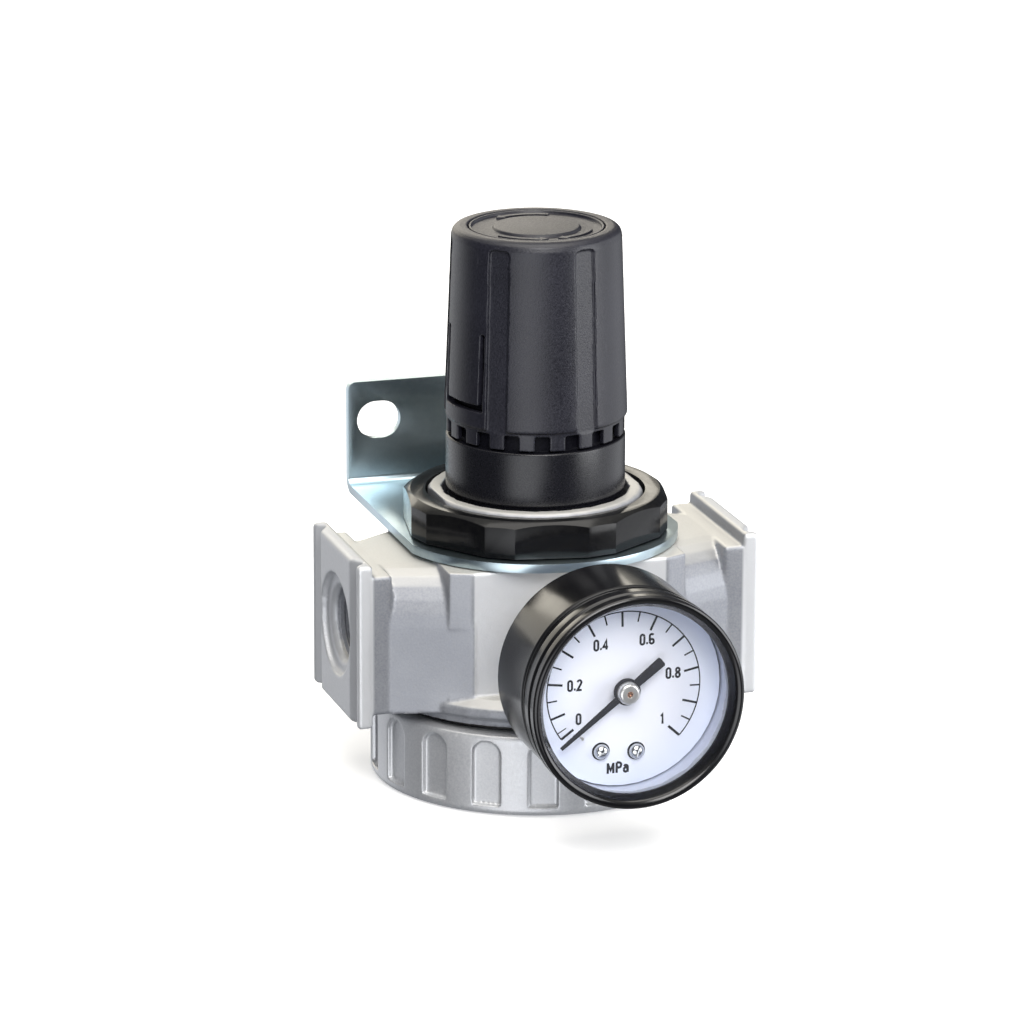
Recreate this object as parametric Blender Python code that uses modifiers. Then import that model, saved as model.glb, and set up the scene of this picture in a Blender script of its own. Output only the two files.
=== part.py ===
"""Air pressure regulator: a die-cast body with two modular port flanges, a push-lock adjusting knob,
an angle bracket held by a panel nut, a gripped bottom cap and a dial gauge on the front.

Frame: metres, +Z up along the knob's axis, origin at the middle of the bottom cap's underside.
The air flows along +X, from the inlet flange to the outlet flange, and the gauge looks along -Y.
"""
import math

import bmesh
import bpy
from mathutils import Matrix, Vector

MM = 0.001
GAP = 0.3 * MM              # clearance between pieces that touch

# Body
PORT_FACE = 41.2 * MM       # outer face of each flange, from the knob's axis
FLANGE_HALF_DEPTH = 16.6 * MM
FLANGE_LOW, FLANGE_HIGH = 16.1 * MM, 49.3 * MM
FLANGE_RIM = 3.1 * MM       # thickness of the outer plate of a flange
WEB_THICK = 4.0 * MM        # thickness of the inner plate of a flange
WEB_LOW, WEB_HIGH = 18.7 * MM, 46.9 * MM
ARM_SHOULDER, SHOULDER_STEPS = 36.6 * MM, 6     # height where an arm's sides start to round over
BOSS_HALF_WIDTH, BOSS_DEPTH = 20.2 * MM, 23.0 * MM
CORE_HALF_WIDTH, CORE_DEPTH = 24.2 * MM, 21.3 * MM
DECK = 48.0 * MM            # top of the casting, under the bracket
SKIRT_RADIUS, SKIRT_TOP, SKIRT_FOOT = 33.0 * MM, 22.9 * MM, 18.0 * MM
NECK_RADIUS, NECK_TOP, NECK_FLAT = 21.35 * MM, 58.0 * MM, 20.2 * MM
NECK_BORE = 18.6 * MM
PORT_AXIS = 33.0 * MM       # height of the ports' and the gauge's axes
PORT_RADIUS, PORT_RECESS = 7.1 * MM, 10.4 * MM
GAUGE_PORT_RADIUS = 4.4 * MM
DIAPHRAGM_LEDGE = 46.0 * MM
SEAT_LOW, SEAT_HIGH = 31.8 * MM, 34.8 * MM
VALVE_BORE, CAP_BORE = 13.0 * MM, 24.0 * MM
CAP_THREAD = 28.0 * MM

# Bottom cap
CAP_RADIUS, CAP_HEIGHT, CAP_FLOOR = 32.7 * MM, 16.6 * MM, 4.0 * MM
GRIPS, GRIP_WIDTH, GRIP_DEPTH = 18, 5.8 * MM, 1.0 * MM
GRIP_LOW, GRIP_HIGH, GRIP_PHASE = 1.9 * MM, 15.0 * MM, -14.4

# Bonnet, knob and adjusting gear
COLLAR_RADIUS, COLLAR_LOW, COLLAR_HIGH = 17.73 * MM, 58.5 * MM, 69.2 * MM
BONNET_RADIUS, BONNET_BORE, BONNET_TOP = 16.0 * MM, 14.6 * MM, 92.0 * MM
BONNET_ROOF = 3.5 * MM
KNOB_TOP, KNOB_LOW, KNOB_LEDGE = 110.8 * MM, 69.6 * MM, 73.3 * MM
KNOB_TOP_RADIUS, KNOB_FOOT_RADIUS, KNOB_RIM_RADIUS = 16.76 * MM, 18.1 * MM, 17.55 * MM
KNOB_BORE = 16.35 * MM
PANELS, PANEL_PHASE, GROOVE_WIDTH, GROOVE_TOP = 6, -13.4, 4.4 * MM, 109.0 * MM
TEETH, TOOTH_GAP, TOOTH_TOP = 18, 2.95 * MM, 72.5 * MM
SCREW_RADIUS, SCREW_HEX = 4.0 * MM, 7.2 * MM
NUT_REST, NUT_THICK, NUT_HUB = 84.6 * MM, 3.6 * MM, 4.0 * MM
SPRING_RADIUS, SPRING_WIRE = 11.3 * MM, 1.2 * MM
KEY_WIDTH, KEY_REACH = 2.6 * MM, 15.0 * MM

# Panel nut and bracket
BRACKET_THICK, BRACKET_LOW = 1.75 * MM, 48.3 * MM
BRACKET_HALF_WIDTH, BRACKET_NOSE = 27.4 * MM, 28.3 * MM
BRACKET_BACK, BRACKET_TOP, BRACKET_BEND = 40.3 * MM, 71.2 * MM, 3.2 * MM
BRACKET_HOLE_X, BRACKET_HOLE_Z = 21.0 * MM, 63.1 * MM
BRACKET_HOLE_WIDE, BRACKET_HOLE_HIGH = 9.1 * MM, 7.75 * MM
NUT_LOW, NUT_HIGH, NUT_FLAT, NUT_BORE = 50.35 * MM, 57.6 * MM, 25.4 * MM, 21.75 * MM
NUT_PHASE, NUT_FACET = -10.3, 6.6        # degrees: turn of the nut, half-angle of a corner facet

# Gauge: heights along its axis are distances in front of the knob's axis
GAUGE_RADIUS, BEZEL_RADIUS, WINDOW_RADIUS = 20.7 * MM, 21.0 * MM, 18.44 * MM
GAUGE_BACK, GAUGE_FRONT = 41.1 * MM, 65.3 * MM
DIAL_FACE, DIAL_RADIUS = 55.5 * MM, 19.3 * MM
DIAL_TURN = -4.2            # degrees: the dial and its screws sit a little clockwise of upright
DIAL_SCREW_X, DIAL_SCREW_Z = 3.55 * MM, -12.4 * MM
POINTER_REST = 218.2        # degrees, anticlockwise from +X as seen from the front
POINTER_TIP, POINTER_TAIL = 16.6 * MM, 8.9 * MM
GEAR_MODULE, PINION_TEETH, SECTOR_TEETH = 0.4 * MM, 8, 64
SECTOR_SWING = 33.0         # degrees

PARTS = "air_pressure_regulator"
CUTTERS = "cutters"
ALONG_Z = Matrix.Identity(4)
TO_FRONT = Matrix.Rotation(math.radians(90.0), 4, "X")    # local +Z looks along -Y
TO_BACK = Matrix.Rotation(math.radians(-90.0), 4, "X")    # local +Z looks along +Y
TO_OUTLET = Matrix.Rotation(math.radians(90.0), 4, "Y")   # local +Z looks along +X
TO_INLET = Matrix.Rotation(math.radians(-90.0), 4, "Y")   # local +Z looks along -X


# ---------------------------------------------------------------- scene and materials

def clear_scene():
    for item in list(bpy.data.objects):
        bpy.data.objects.remove(item, do_unlink=True)
    for name in (PARTS, CUTTERS):
        group = bpy.data.collections.new(name)
        bpy.context.scene.collection.children.link(group)


def finish(name, colour, roughness, metallic=0.0, alpha=1.0):
    """A Principled material of one colour."""
    made = bpy.data.materials.new(name)
    made.use_nodes = True
    shader = made.node_tree.nodes["Principled BSDF"]
    shader.inputs["Base Color"].default_value = (*colour, 1.0)
    shader.inputs["Roughness"].default_value = roughness
    shader.inputs["Metallic"].default_value = metallic
    shader.inputs["Alpha"].default_value = alpha
    made.diffuse_color = (*colour, alpha)
    return made


def cast_aluminium(name):
    return finish(name, (0.62, 0.63, 0.65), 0.42, 0.85)


def black_plastic(name, roughness=0.45):
    return finish(name, (0.03, 0.03, 0.035), roughness)


def plated_steel(name):
    return finish(name, (0.60, 0.64, 0.68), 0.28, 1.0)


def brass(name):
    return finish(name, (0.72, 0.55, 0.27), 0.30, 1.0)


def rubber(name):
    return finish(name, (0.02, 0.02, 0.02), 0.75)


def place(name, data, turn, at, material):
    """A visible sub-part: an object of its own in the parts collection."""
    made = bpy.data.objects.new(name, data)
    made.matrix_world = Matrix.Translation(Vector(at)) @ turn
    bpy.data.collections[PARTS].objects.link(made)
    made.data.materials.append(material)
    return made


def as_cutter(item):
    """Moves an object to the cutters, out of the build."""
    for group in list(item.users_collection):
        group.objects.unlink(item)
    bpy.data.collections[CUTTERS].objects.link(item)
    item.hide_render = True
    item.display_type = "WIRE"
    return item


def boolean(item, other, operation):
    step = item.modifiers.new(operation.lower(), "BOOLEAN")
    step.operation = operation
    step.solver = "EXACT"
    step.object = as_cutter(other)


def cut(item, *tools):
    for tool in tools:
        boolean(item, tool, "DIFFERENCE")


def join(item, *others):
    for other in others:
        boolean(item, other, "UNION")


def weld(item):
    """Closes the hairline seams that a row of booleans can leave."""
    step = item.modifiers.new("weld", "WELD")
    step.merge_threshold = 0.000002


def bevel(item, width, segments=1, angle=35.0):
    step = item.modifiers.new("bevel", "BEVEL")
    step.width = width
    step.segments = segments
    step.limit_method = "ANGLE"
    step.angle_limit = math.radians(angle)


# ---------------------------------------------------------------- shapes

def turned(name, profile, material, turn=ALONG_Z, at=(0, 0, 0), steps=32):
    """A solid of revolution. The profile holds (radius, height) points and runs down its outer side."""
    mesh = bpy.data.meshes.new(name)
    points = [(radius, 0.0, height) for radius, height in profile]
    edges = [(i, i + 1) for i in range(len(points) - 1)]
    if profile[0][0] > 0:
        edges.append((len(points) - 1, 0))
    mesh.from_pydata(points, edges, [])
    made = place(name, mesh, turn, at, material)
    screw = made.modifiers.new("turn", "SCREW")
    screw.steps = screw.render_steps = steps
    screw.use_merge_vertices = True
    screw.merge_threshold = 0.00001
    screw.use_smooth_shade = True
    return made


def rod(name, radius, low, high, material, turn=ALONG_Z, at=(0, 0, 0), steps=16):
    profile = [(0.0, high), (radius, high), (radius, low), (0.0, low)]
    return turned(name, profile, material, turn, at, steps)


def ring(name, inner, outer, low, high, material, turn=ALONG_Z, at=(0, 0, 0), steps=32):
    profile = [(inner, high), (outer, high), (outer, low), (inner, low)]
    return turned(name, profile, material, turn, at, steps)


def block(name, low, high, material):
    """A box between two corners."""
    mesh = bpy.data.meshes.new(name)
    shape = bmesh.new()
    size = Vector(high) - Vector(low)
    centre = (Vector(high) + Vector(low)) / 2
    fit = Matrix.Translation(centre) @ Matrix.Diagonal((*size, 1.0))
    bmesh.ops.create_cube(shape, size=1.0, matrix=fit)
    shape.to_mesh(mesh)
    shape.free()
    return place(name, mesh, ALONG_Z, (0, 0, 0), material)


def plate(name, outlines, low, high, material, turn=ALONG_Z, at=(0, 0, 0)):
    """A flat piece: a filled 2D curve between two heights. The outlines after the first are holes."""
    flat = bpy.data.curves.new(name, "CURVE")
    flat.dimensions = "2D"
    flat.fill_mode = "BOTH"
    flat.extrude = (high - low) / 2
    for outline in outlines:
        spline = flat.splines.new("POLY")
        spline.points.add(len(outline) - 1)
        for point, (x, y) in zip(spline.points, outline):
            point.co = (x, y, 0.0, 1.0)
        spline.use_cyclic_u = True
    guide = bpy.data.objects.new(name + "_outline", flat)
    bpy.data.collections[PARTS].objects.link(guide)
    return curve_to_part(guide, name, material, turn, at, (low + high) / 2)


def curve_to_part(guide, name, material, turn, at, lift=0.0):
    """Turns a curve object into a welded mesh part, and removes the curve."""
    evaluated = guide.evaluated_get(bpy.context.evaluated_depsgraph_get())
    mesh = bpy.data.meshes.new_from_object(evaluated)
    shape = bmesh.new()
    shape.from_mesh(mesh)
    bmesh.ops.remove_doubles(shape, verts=shape.verts, dist=0.000002)
    bmesh.ops.translate(shape, verts=shape.verts, vec=(0.0, 0.0, lift))
    bmesh.ops.recalc_face_normals(shape, faces=shape.faces)
    shape.to_mesh(mesh)
    shape.free()
    mesh.shade_smooth()
    mesh.set_sharp_from_angle(angle=math.radians(35.0))
    mesh.name = name
    bpy.data.objects.remove(guide, do_unlink=True)
    mesh.materials.clear()
    return place(name, mesh, turn, at, material)


def tube(name, points, radius, material, turn=ALONG_Z, at=(0, 0, 0), cyclic=False):
    """A round wire or tube along a route, with filled caps."""
    path = bpy.data.curves.new(name, "CURVE")
    path.dimensions = "3D"
    path.bevel_depth = radius
    path.bevel_resolution = 2
    path.use_fill_caps = not cyclic
    spline = path.splines.new("POLY")
    spline.points.add(len(points) - 1)
    for point, spot in zip(spline.points, points):
        point.co = (*spot, 1.0)
    spline.use_cyclic_u = cyclic
    guide = bpy.data.objects.new(name + "_route", path)
    bpy.data.collections[PARTS].objects.link(guide)
    return curve_to_part(guide, name, material, turn, at)


def prism_between(name, start, end, material):
    """A solid between two outlines of equally many 3D points."""
    mesh = bpy.data.meshes.new(name)
    shape = bmesh.new()
    first = [shape.verts.new(point) for point in start]
    last = [shape.verts.new(point) for point in end]
    shape.faces.new(first)
    shape.faces.new(last)
    for i in range(len(first)):
        j = (i + 1) % len(first)
        shape.faces.new((first[i], first[j], last[j], last[i]))
    bmesh.ops.recalc_face_normals(shape, faces=shape.faces)
    shape.to_mesh(mesh)
    shape.free()
    return place(name, mesh, ALONG_Z, (0, 0, 0), material)


def gather(name, pieces, material):
    """One cutter made of several boxes or plates that stand apart."""
    mesh = bpy.data.meshes.new(name)
    shape = bmesh.new()
    for piece in pieces:
        copy = piece.data.copy()
        copy.transform(piece.matrix_world)
        shape.from_mesh(copy)
        bpy.data.objects.remove(piece, do_unlink=True)
    shape.to_mesh(mesh)
    shape.free()
    return place(name, mesh, ALONG_Z, (0, 0, 0), material)


def polar(radius, degrees):
    angle = math.radians(degrees)
    return (radius * math.cos(angle), radius * math.sin(angle))


def arc(radius, start, end, count, centre=(0.0, 0.0)):
    """Points on an arc, both ends included."""
    found = []
    for i in range(count + 1):
        x, y = polar(radius, start + (end - start) * i / count)
        found.append((centre[0] + x, centre[1] + y))
    return found


def circle(radius, count=24, centre=(0.0, 0.0)):
    return arc(radius, 0.0, 360.0 - 360.0 / count, count - 1, centre)


def hexagon(across_flats, turn=0.0):
    corner = across_flats / 2 / math.cos(math.radians(30.0))
    return [polar(corner, turn + 60.0 * i) for i in range(6)]


def facing(degrees):
    """A turn that lets local +Z look outwards at an angle round the knob's axis, with local +Y up.
    The angle is counted from -Y towards +X."""
    return Matrix.Rotation(math.radians(degrees), 4, "Z") @ TO_FRONT


# ---------------------------------------------------------------- body

def arm_section(x, half_depth, flat, low, top):
    """Section of a casting arm at x: upright sides, and shoulders rounded over to a flat top."""
    right = [(half_depth, low)]
    for i in range(SHOULDER_STEPS + 1):
        across, up = polar(1.0, 90.0 * i / SHOULDER_STEPS)
        right.append((flat + (half_depth - flat) * across, ARM_SHOULDER + (top - ARM_SHOULDER) * up))
    left = [(-y, z) for y, z in reversed(right)]
    return [(x, y, z) for y, z in right + left]


def casting_arm(side, material):
    """The arm between the core and a flange, which widens towards the core."""
    core_end = arm_section(side * 18.0 * MM, 24.0 * MM, 14.5 * MM, WEB_LOW + 1.3 * MM, DECK - 0.1 * MM)
    flange_end = arm_section(side * 34.4 * MM, 16.5 * MM, 7.0 * MM, WEB_LOW, WEB_HIGH)
    return prism_between("arm", core_end, flange_end, material)


def flange_plates(side, material):
    """The two plates of a modular flange: a tall outer rim and a lower web behind it."""
    rim_x = (side * (PORT_FACE - FLANGE_RIM), side * PORT_FACE)
    web_x = (side * (PORT_FACE - FLANGE_RIM - WEB_THICK), side * (PORT_FACE - FLANGE_RIM / 2))
    depth, web_depth = FLANGE_HALF_DEPTH, FLANGE_HALF_DEPTH - 0.3 * MM
    rim = block("rim", (min(rim_x), -depth, FLANGE_LOW), (max(rim_x), depth, FLANGE_HIGH), material)
    web = block("web", (min(web_x), -web_depth, WEB_LOW), (max(web_x), web_depth, WEB_HIGH), material)
    bevel(rim, 0.5 * MM)
    bevel(web, 0.5 * MM)
    return rim, web


def clamp_grooves(side, material):
    """The upright V grooves of a flange face, which the joiners of a row of units hook into."""
    near, far, deep = 15.3 * MM, 10.4 * MM, 2.0 * MM
    face, root = side * (PORT_FACE + 0.2 * MM), side * (PORT_FACE - deep)
    found = []
    for front in (-1, 1):
        outline = [(face, front * (near + 0.1 * MM)), (face, front * (far - 0.4 * MM)),
                   (root, front * 13.4 * MM)]
        low, high = FLANGE_LOW - 2 * MM, FLANGE_HIGH + 2 * MM
        found.append(plate("groove", [outline], low, high, material))
    return found


def port_cutter(turn, material):
    """A threaded port with a shallow round recess in its flange face."""
    face = PORT_FACE
    profile = [(0.0, face + 1 * MM), (PORT_RECESS, face + 1 * MM),
               (PORT_RECESS - 0.3 * MM, face - 1.3 * MM),
               (PORT_RADIUS + 0.9 * MM, face - 1.3 * MM), (PORT_RADIUS, face - 2.3 * MM),
               (PORT_RADIUS, face - 17.0 * MM), (0.0, face - 17.0 * MM)]
    return turned("port", profile, material, turn, (0, 0, PORT_AXIS), 24)


def gauge_port_cutter(turn, material):
    profile = [(0.0, BOSS_DEPTH + 1 * MM), (GAUGE_PORT_RADIUS + 0.6 * MM, BOSS_DEPTH + 1 * MM),
               (GAUGE_PORT_RADIUS + 0.6 * MM, BOSS_DEPTH - 0.3 * MM),
               (GAUGE_PORT_RADIUS, BOSS_DEPTH - 0.9 * MM),
               (GAUGE_PORT_RADIUS, 14.0 * MM), (0.0, 14.0 * MM)]
    return turned("gauge_port", profile, material, turn, (0, 0, PORT_AXIS), 16)


def central_bore(material):
    """The stepped bore, from the bonnet's thread down to the opening for the cap."""
    profile = [(0.0, NECK_TOP + 1 * MM), (NECK_BORE, NECK_TOP + 1 * MM), (NECK_BORE, DIAPHRAGM_LEDGE),
               (16.5 * MM, DIAPHRAGM_LEDGE), (16.5 * MM, 42.5 * MM), (9.0 * MM, 42.5 * MM),
               (9.0 * MM, SEAT_HIGH), (4.2 * MM, SEAT_HIGH), (4.2 * MM, SEAT_LOW), (VALVE_BORE, SEAT_LOW),
               (VALVE_BORE, SKIRT_FOOT), (CAP_BORE, SKIRT_FOOT), (CAP_BORE, CAP_FLOOR), (0.0, CAP_FLOOR)]
    return turned("central_bore", profile, material, steps=20)


def body():
    metal = cast_aluminium("body_metal")
    corner = [(BOSS_HALF_WIDTH, BOSS_DEPTH), (CORE_HALF_WIDTH, CORE_DEPTH)]
    quarter = corner + [(x, -y) for x, y in reversed(corner)]
    outline = quarter + [(-x, -y) for x, y in quarter]
    made = plate("body", [outline], 20.0 * MM, DECK, metal)
    skirt = [(0.0, SKIRT_TOP), (30.4 * MM, SKIRT_TOP), (SKIRT_RADIUS - 0.2 * MM, 21.6 * MM),
             (SKIRT_RADIUS, 21.2 * MM), (SKIRT_RADIUS, 19.7 * MM), (32.2 * MM, 19.5 * MM),
             (32.2 * MM, SKIRT_FOOT), (CAP_THREAD, SKIRT_FOOT),
             (CAP_THREAD, 5.0 * MM), (0.0, 5.0 * MM)]
    neck = [(0.0, NECK_TOP), (NECK_RADIUS - 0.7 * MM, NECK_TOP), (NECK_RADIUS, NECK_TOP - 0.7 * MM),
            (NECK_RADIUS, 44.0 * MM), (0.0, 44.0 * MM)]
    join(made, turned("skirt", skirt, metal, steps=44), turned("neck", neck, metal, steps=32))
    for side in (-1, 1):
        join(made, casting_arm(side, metal), *flange_plates(side, metal))
    for side in (-1, 1):
        cut(made, *clamp_grooves(side, metal))
    reach = NECK_RADIUS + 1 * MM
    for side in (-1, 1):
        near, far = sorted((side * NECK_FLAT, side * reach))
        cut(made, block("flat", (near, -reach, DECK), (far, reach, NECK_TOP + 1 * MM), metal))
    cut(made, central_bore(metal))
    weld(made)
    cut(made, port_cutter(TO_INLET, metal), port_cutter(TO_OUTLET, metal))
    cut(made, rod("inlet_way", 4.8 * MM, 11.0 * MM, 25.0 * MM, metal, TO_INLET, (0, 0, 26.6 * MM)))
    cut(made, rod("outlet_way", 3.4 * MM, 7.0 * MM, 25.0 * MM, metal, TO_OUTLET, (0, 0, 38.6 * MM)))
    for turn in (TO_FRONT, TO_BACK):
        cut(made, gauge_port_cutter(turn, metal))
        cut(made, rod("gauge_way", 1.2 * MM, 7.5 * MM, 14.5 * MM, metal, turn, (0, 0, 36.3 * MM), 12))


# ---------------------------------------------------------------- bottom cap and inner valve

def grip_cutter(metal):
    """The arch-topped finger grips round the bottom cap."""
    half = GRIP_WIDTH / 2
    arch = arc(half, 0.0, 180.0, 6, (0.0, GRIP_HIGH - half))
    outline = [(-half, GRIP_LOW), (half, GRIP_LOW)] + arch
    floor = CAP_RADIUS - GRIP_DEPTH - 0.13 * MM
    pieces = []
    for i in range(GRIPS):
        turn = facing(GRIP_PHASE + 360.0 * i / GRIPS)
        pieces.append(plate("grip", [outline], floor, CAP_RADIUS + 2 * MM, metal, turn))
    return gather("grips", pieces, metal)


def bottom_cap():
    metal = cast_aluminium("bottom_cap_metal")
    inner = CAP_THREAD + 0.4 * MM
    profile = [(0.0, CAP_FLOOR), (inner, CAP_FLOOR), (inner, CAP_HEIGHT),
               (CAP_RADIUS - 1.3 * MM, CAP_HEIGHT),
               (CAP_RADIUS - 0.2 * MM, CAP_HEIGHT - 0.5 * MM), (CAP_RADIUS, CAP_HEIGHT - 1.2 * MM),
               (CAP_RADIUS + 0.1 * MM, 0.7 * MM), (CAP_RADIUS - 0.4 * MM, 0.15 * MM),
               (CAP_RADIUS - 1.0 * MM, 0.0), (0.0, 0.0)]
    made = turned("bottom_cap", profile, metal, steps=45)
    cut(made, grip_cutter(metal))


def cap_seal():
    low, high = CAP_HEIGHT + GAP, SKIRT_FOOT - GAP
    ring("cap_seal", CAP_THREAD + GAP, 30.0 * MM, low, high, rubber("cap_seal_rubber"), steps=24)


def valve_guide():
    """The cup that carries the valve: it is pushed against the body by the bottom cap."""
    top, skirt = SKIRT_FOOT - GAP, CAP_BORE - 0.4 * MM
    profile = [(2.8 * MM, 22.0 * MM), (3.6 * MM, 22.0 * MM), (3.6 * MM, top), (16.4 * MM, top),
               (16.4 * MM, 16.4 * MM), (19.6 * MM, 16.4 * MM), (19.6 * MM, top), (skirt, top),
               (skirt, CAP_FLOOR + GAP), (20.5 * MM, CAP_FLOOR + GAP), (20.5 * MM, 13.5 * MM),
               (6.0 * MM, 13.5 * MM), (6.0 * MM, 9.0 * MM), (2.8 * MM, 9.0 * MM)]
    turned("valve_guide", profile, finish("valve_guide_resin", (0.85, 0.84, 0.78), 0.5), steps=18)


def o_ring(name, radius, wire, height):
    points = [(x, y, height) for x, y in circle(radius, 18)]
    tube(name, points, wire, rubber(name + "_rubber"), cyclic=True)


def valve():
    """The valve's stem and head. The stem reaches up through the seat to the relief seat."""
    profile = [(0.0, 44.7 * MM), (0.9 * MM, 44.7 * MM), (1.3 * MM, 44.2 * MM), (1.3 * MM, 30.0 * MM),
               (6.0 * MM, 30.0 * MM), (6.0 * MM, 28.0 * MM), (2.5 * MM, 28.0 * MM), (2.5 * MM, 12.0 * MM),
               (0.0, 12.0 * MM)]
    turned("valve", profile, brass("valve_brass"), steps=16)


def valve_seal():
    soft = rubber("valve_seal_rubber")
    ring("valve_seal", 1.6 * MM, 6.0 * MM, 30.0 * MM + GAP, SEAT_LOW - GAP, soft, steps=16)


def coil(radius, wire, low, high, turns, each=10):
    """A compression spring's centre line: one closed turn at each end, and an even pitch between."""
    closed = 2.15 * wire
    low, high = low + wire, high - wire
    pitch = (high - low - 2 * closed) / (turns - 2)
    found = []
    for i in range(turns * each + 1):
        turn = i / each
        height = low + closed * min(turn, 1.0)
        height += pitch * min(max(turn - 1.0, 0.0), turns - 2.0)
        height += closed * max(turn - turns + 1.0, 0.0)
        x, y = polar(radius, 360.0 * turn)
        found.append((x, y, height))
    return found


def valve_spring():
    points = coil(4.45 * MM, 0.4 * MM, SKIRT_FOOT, 28.0 * MM - GAP, 4, 8)
    tube("valve_spring", points, 0.4 * MM, plated_steel("valve_spring_steel"))


# ---------------------------------------------------------------- diaphragm

def diaphragm():
    top, under, lift = 47.1 * MM, 46.3 * MM, 0.9 * MM
    profile = [(3.4 * MM, top), (13.4 * MM, top), (14.1 * MM, top + lift), (15.3 * MM, top + lift),
               (16.0 * MM, top), (18.3 * MM, top), (18.3 * MM, under), (15.9 * MM, under),
               (15.1 * MM, under + lift), (14.3 * MM, under + lift), (13.5 * MM, under), (3.4 * MM, under)]
    turned("diaphragm", profile, rubber("diaphragm_rubber"), steps=20)


def diaphragm_plate():
    """The pressed plate on the diaphragm: the foot of the adjusting spring."""
    profile = [(3.4 * MM, 53.4 * MM), (6.0 * MM, 53.4 * MM), (6.4 * MM, 49.2 * MM), (13.0 * MM, 49.2 * MM),
               (13.0 * MM, 47.4 * MM), (3.4 * MM, 47.4 * MM)]
    turned("diaphragm_plate", profile, plated_steel("diaphragm_plate_steel"), steps=20)


def relief_seat():
    """The rivet through the diaphragm, with the vent that the valve's stem closes."""
    profile = [(0.9 * MM, 54.6 * MM), (3.1 * MM, 54.6 * MM), (3.1 * MM, 46.0 * MM), (6.5 * MM, 46.0 * MM),
               (6.5 * MM, 45.0 * MM), (0.9 * MM, 45.0 * MM)]
    turned("relief_seat", profile, brass("relief_seat_brass"), steps=16)


# ---------------------------------------------------------------- bonnet and adjusting gear

def bonnet():
    plastic = black_plastic("bonnet_plastic", 0.4)
    thread = NECK_BORE - GAP
    profile = [(SCREW_RADIUS + 0.4 * MM, BONNET_TOP), (BONNET_RADIUS - 1 * MM, BONNET_TOP),
               (BONNET_RADIUS, BONNET_TOP - 1 * MM), (BONNET_RADIUS, COLLAR_HIGH),
               (COLLAR_RADIUS - 0.3 * MM, COLLAR_HIGH), (COLLAR_RADIUS, COLLAR_HIGH - 0.3 * MM),
               (COLLAR_RADIUS, COLLAR_LOW), (COLLAR_RADIUS - 0.5 * MM, COLLAR_LOW - 0.5 * MM),
               (COLLAR_RADIUS - 0.5 * MM, 55.5 * MM), (thread, 55.5 * MM), (thread, 47.4 * MM),
               (16.2 * MM, 47.4 * MM), (16.2 * MM, 50.5 * MM), (BONNET_BORE, 52.0 * MM),
               (BONNET_BORE, BONNET_TOP - BONNET_ROOF), (SCREW_RADIUS + 0.4 * MM, BONNET_TOP - BONNET_ROOF)]
    made = turned("bonnet", profile, plastic, steps=32)
    slot, reach = KEY_WIDTH / 2 + GAP, KEY_REACH + GAP
    high = BONNET_TOP - BONNET_ROOF - 0.5 * MM
    cut(made, block("key_slots", (-reach, -slot, 60.0 * MM), (reach, slot, high), plastic))


def main_spring():
    low = 49.2 * MM + GAP
    high = NUT_REST - NUT_THICK - GAP
    points = coil(SPRING_RADIUS, SPRING_WIRE, low, high, 5)
    tube("main_spring", points, SPRING_WIRE, plated_steel("main_spring_steel"))


def adjusting_nut():
    """The upper foot of the spring: it runs on the screw, and two keys keep it from turning."""
    metal = brass("adjusting_nut_brass")
    bore, under = SCREW_RADIUS + 0.35 * MM, NUT_REST - NUT_THICK
    profile = [(bore, NUT_REST), (14.2 * MM, NUT_REST), (14.2 * MM, under), (6.8 * MM, under),
               (6.8 * MM, under - NUT_HUB), (bore, under - NUT_HUB)]
    made = turned("adjusting_nut", profile, metal, steps=20)
    half = KEY_WIDTH / 2
    for side in (-1, 1):
        near, far = sorted((side * 13.0 * MM, side * KEY_REACH))
        join(made, block("key", (near, -half, under), (far, half, NUT_REST), metal))


def adjusting_screw():
    metal = plated_steel("adjusting_screw_steel")
    profile = [(0.0, 94.0 * MM), (SCREW_RADIUS - 0.5 * MM, 94.0 * MM), (SCREW_RADIUS, 93.0 * MM),
               (SCREW_RADIUS, 87.2 * MM), (7.5 * MM, 87.2 * MM), (7.5 * MM, 85.4 * MM),
               (SCREW_RADIUS, 85.4 * MM), (SCREW_RADIUS, 64.6 * MM), (SCREW_RADIUS - 0.6 * MM, 64.0 * MM),
               (0.0, 64.0 * MM)]
    made = turned("adjusting_screw", profile, metal, steps=16)
    join(made, plate("drive", [hexagon(SCREW_HEX)], 92.4 * MM, 103.0 * MM, metal))


def thrust_washer():
    steel = plated_steel("washer_steel")
    ring("thrust_washer", SCREW_RADIUS + GAP, 7.5 * MM, 87.5 * MM, 88.2 * MM, steel, steps=16)


# ---------------------------------------------------------------- knob

def knob_grooves(plastic):
    """The narrow sunken strips between the knob's six panels. Their floors follow the knob's taper."""
    half = GROOVE_WIDTH / 2
    length = GROOVE_TOP - KNOB_LEDGE
    rise = math.atan2(KNOB_FOOT_RADIUS - KNOB_TOP_RADIUS, KNOB_TOP - KNOB_LEDGE)
    lean = Matrix.Rotation(-rise, 4, "X")
    outline = [(-half, -0.5 * MM), (half, -0.5 * MM)] + arc(half, 0.0, 180.0, 5, (0.0, length - half))
    floor = KNOB_RIM_RADIUS
    pieces = []
    for i in range(PANELS):
        out = facing(PANEL_PHASE + 30.0 + 60.0 * i)
        shift = Matrix.Translation((0.0, KNOB_LEDGE, floor))
        pieces.append(plate("groove", [outline], 0.0, 3.0 * MM, plastic, out @ shift @ lean))
    return gather("grooves", pieces, plastic)


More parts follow.
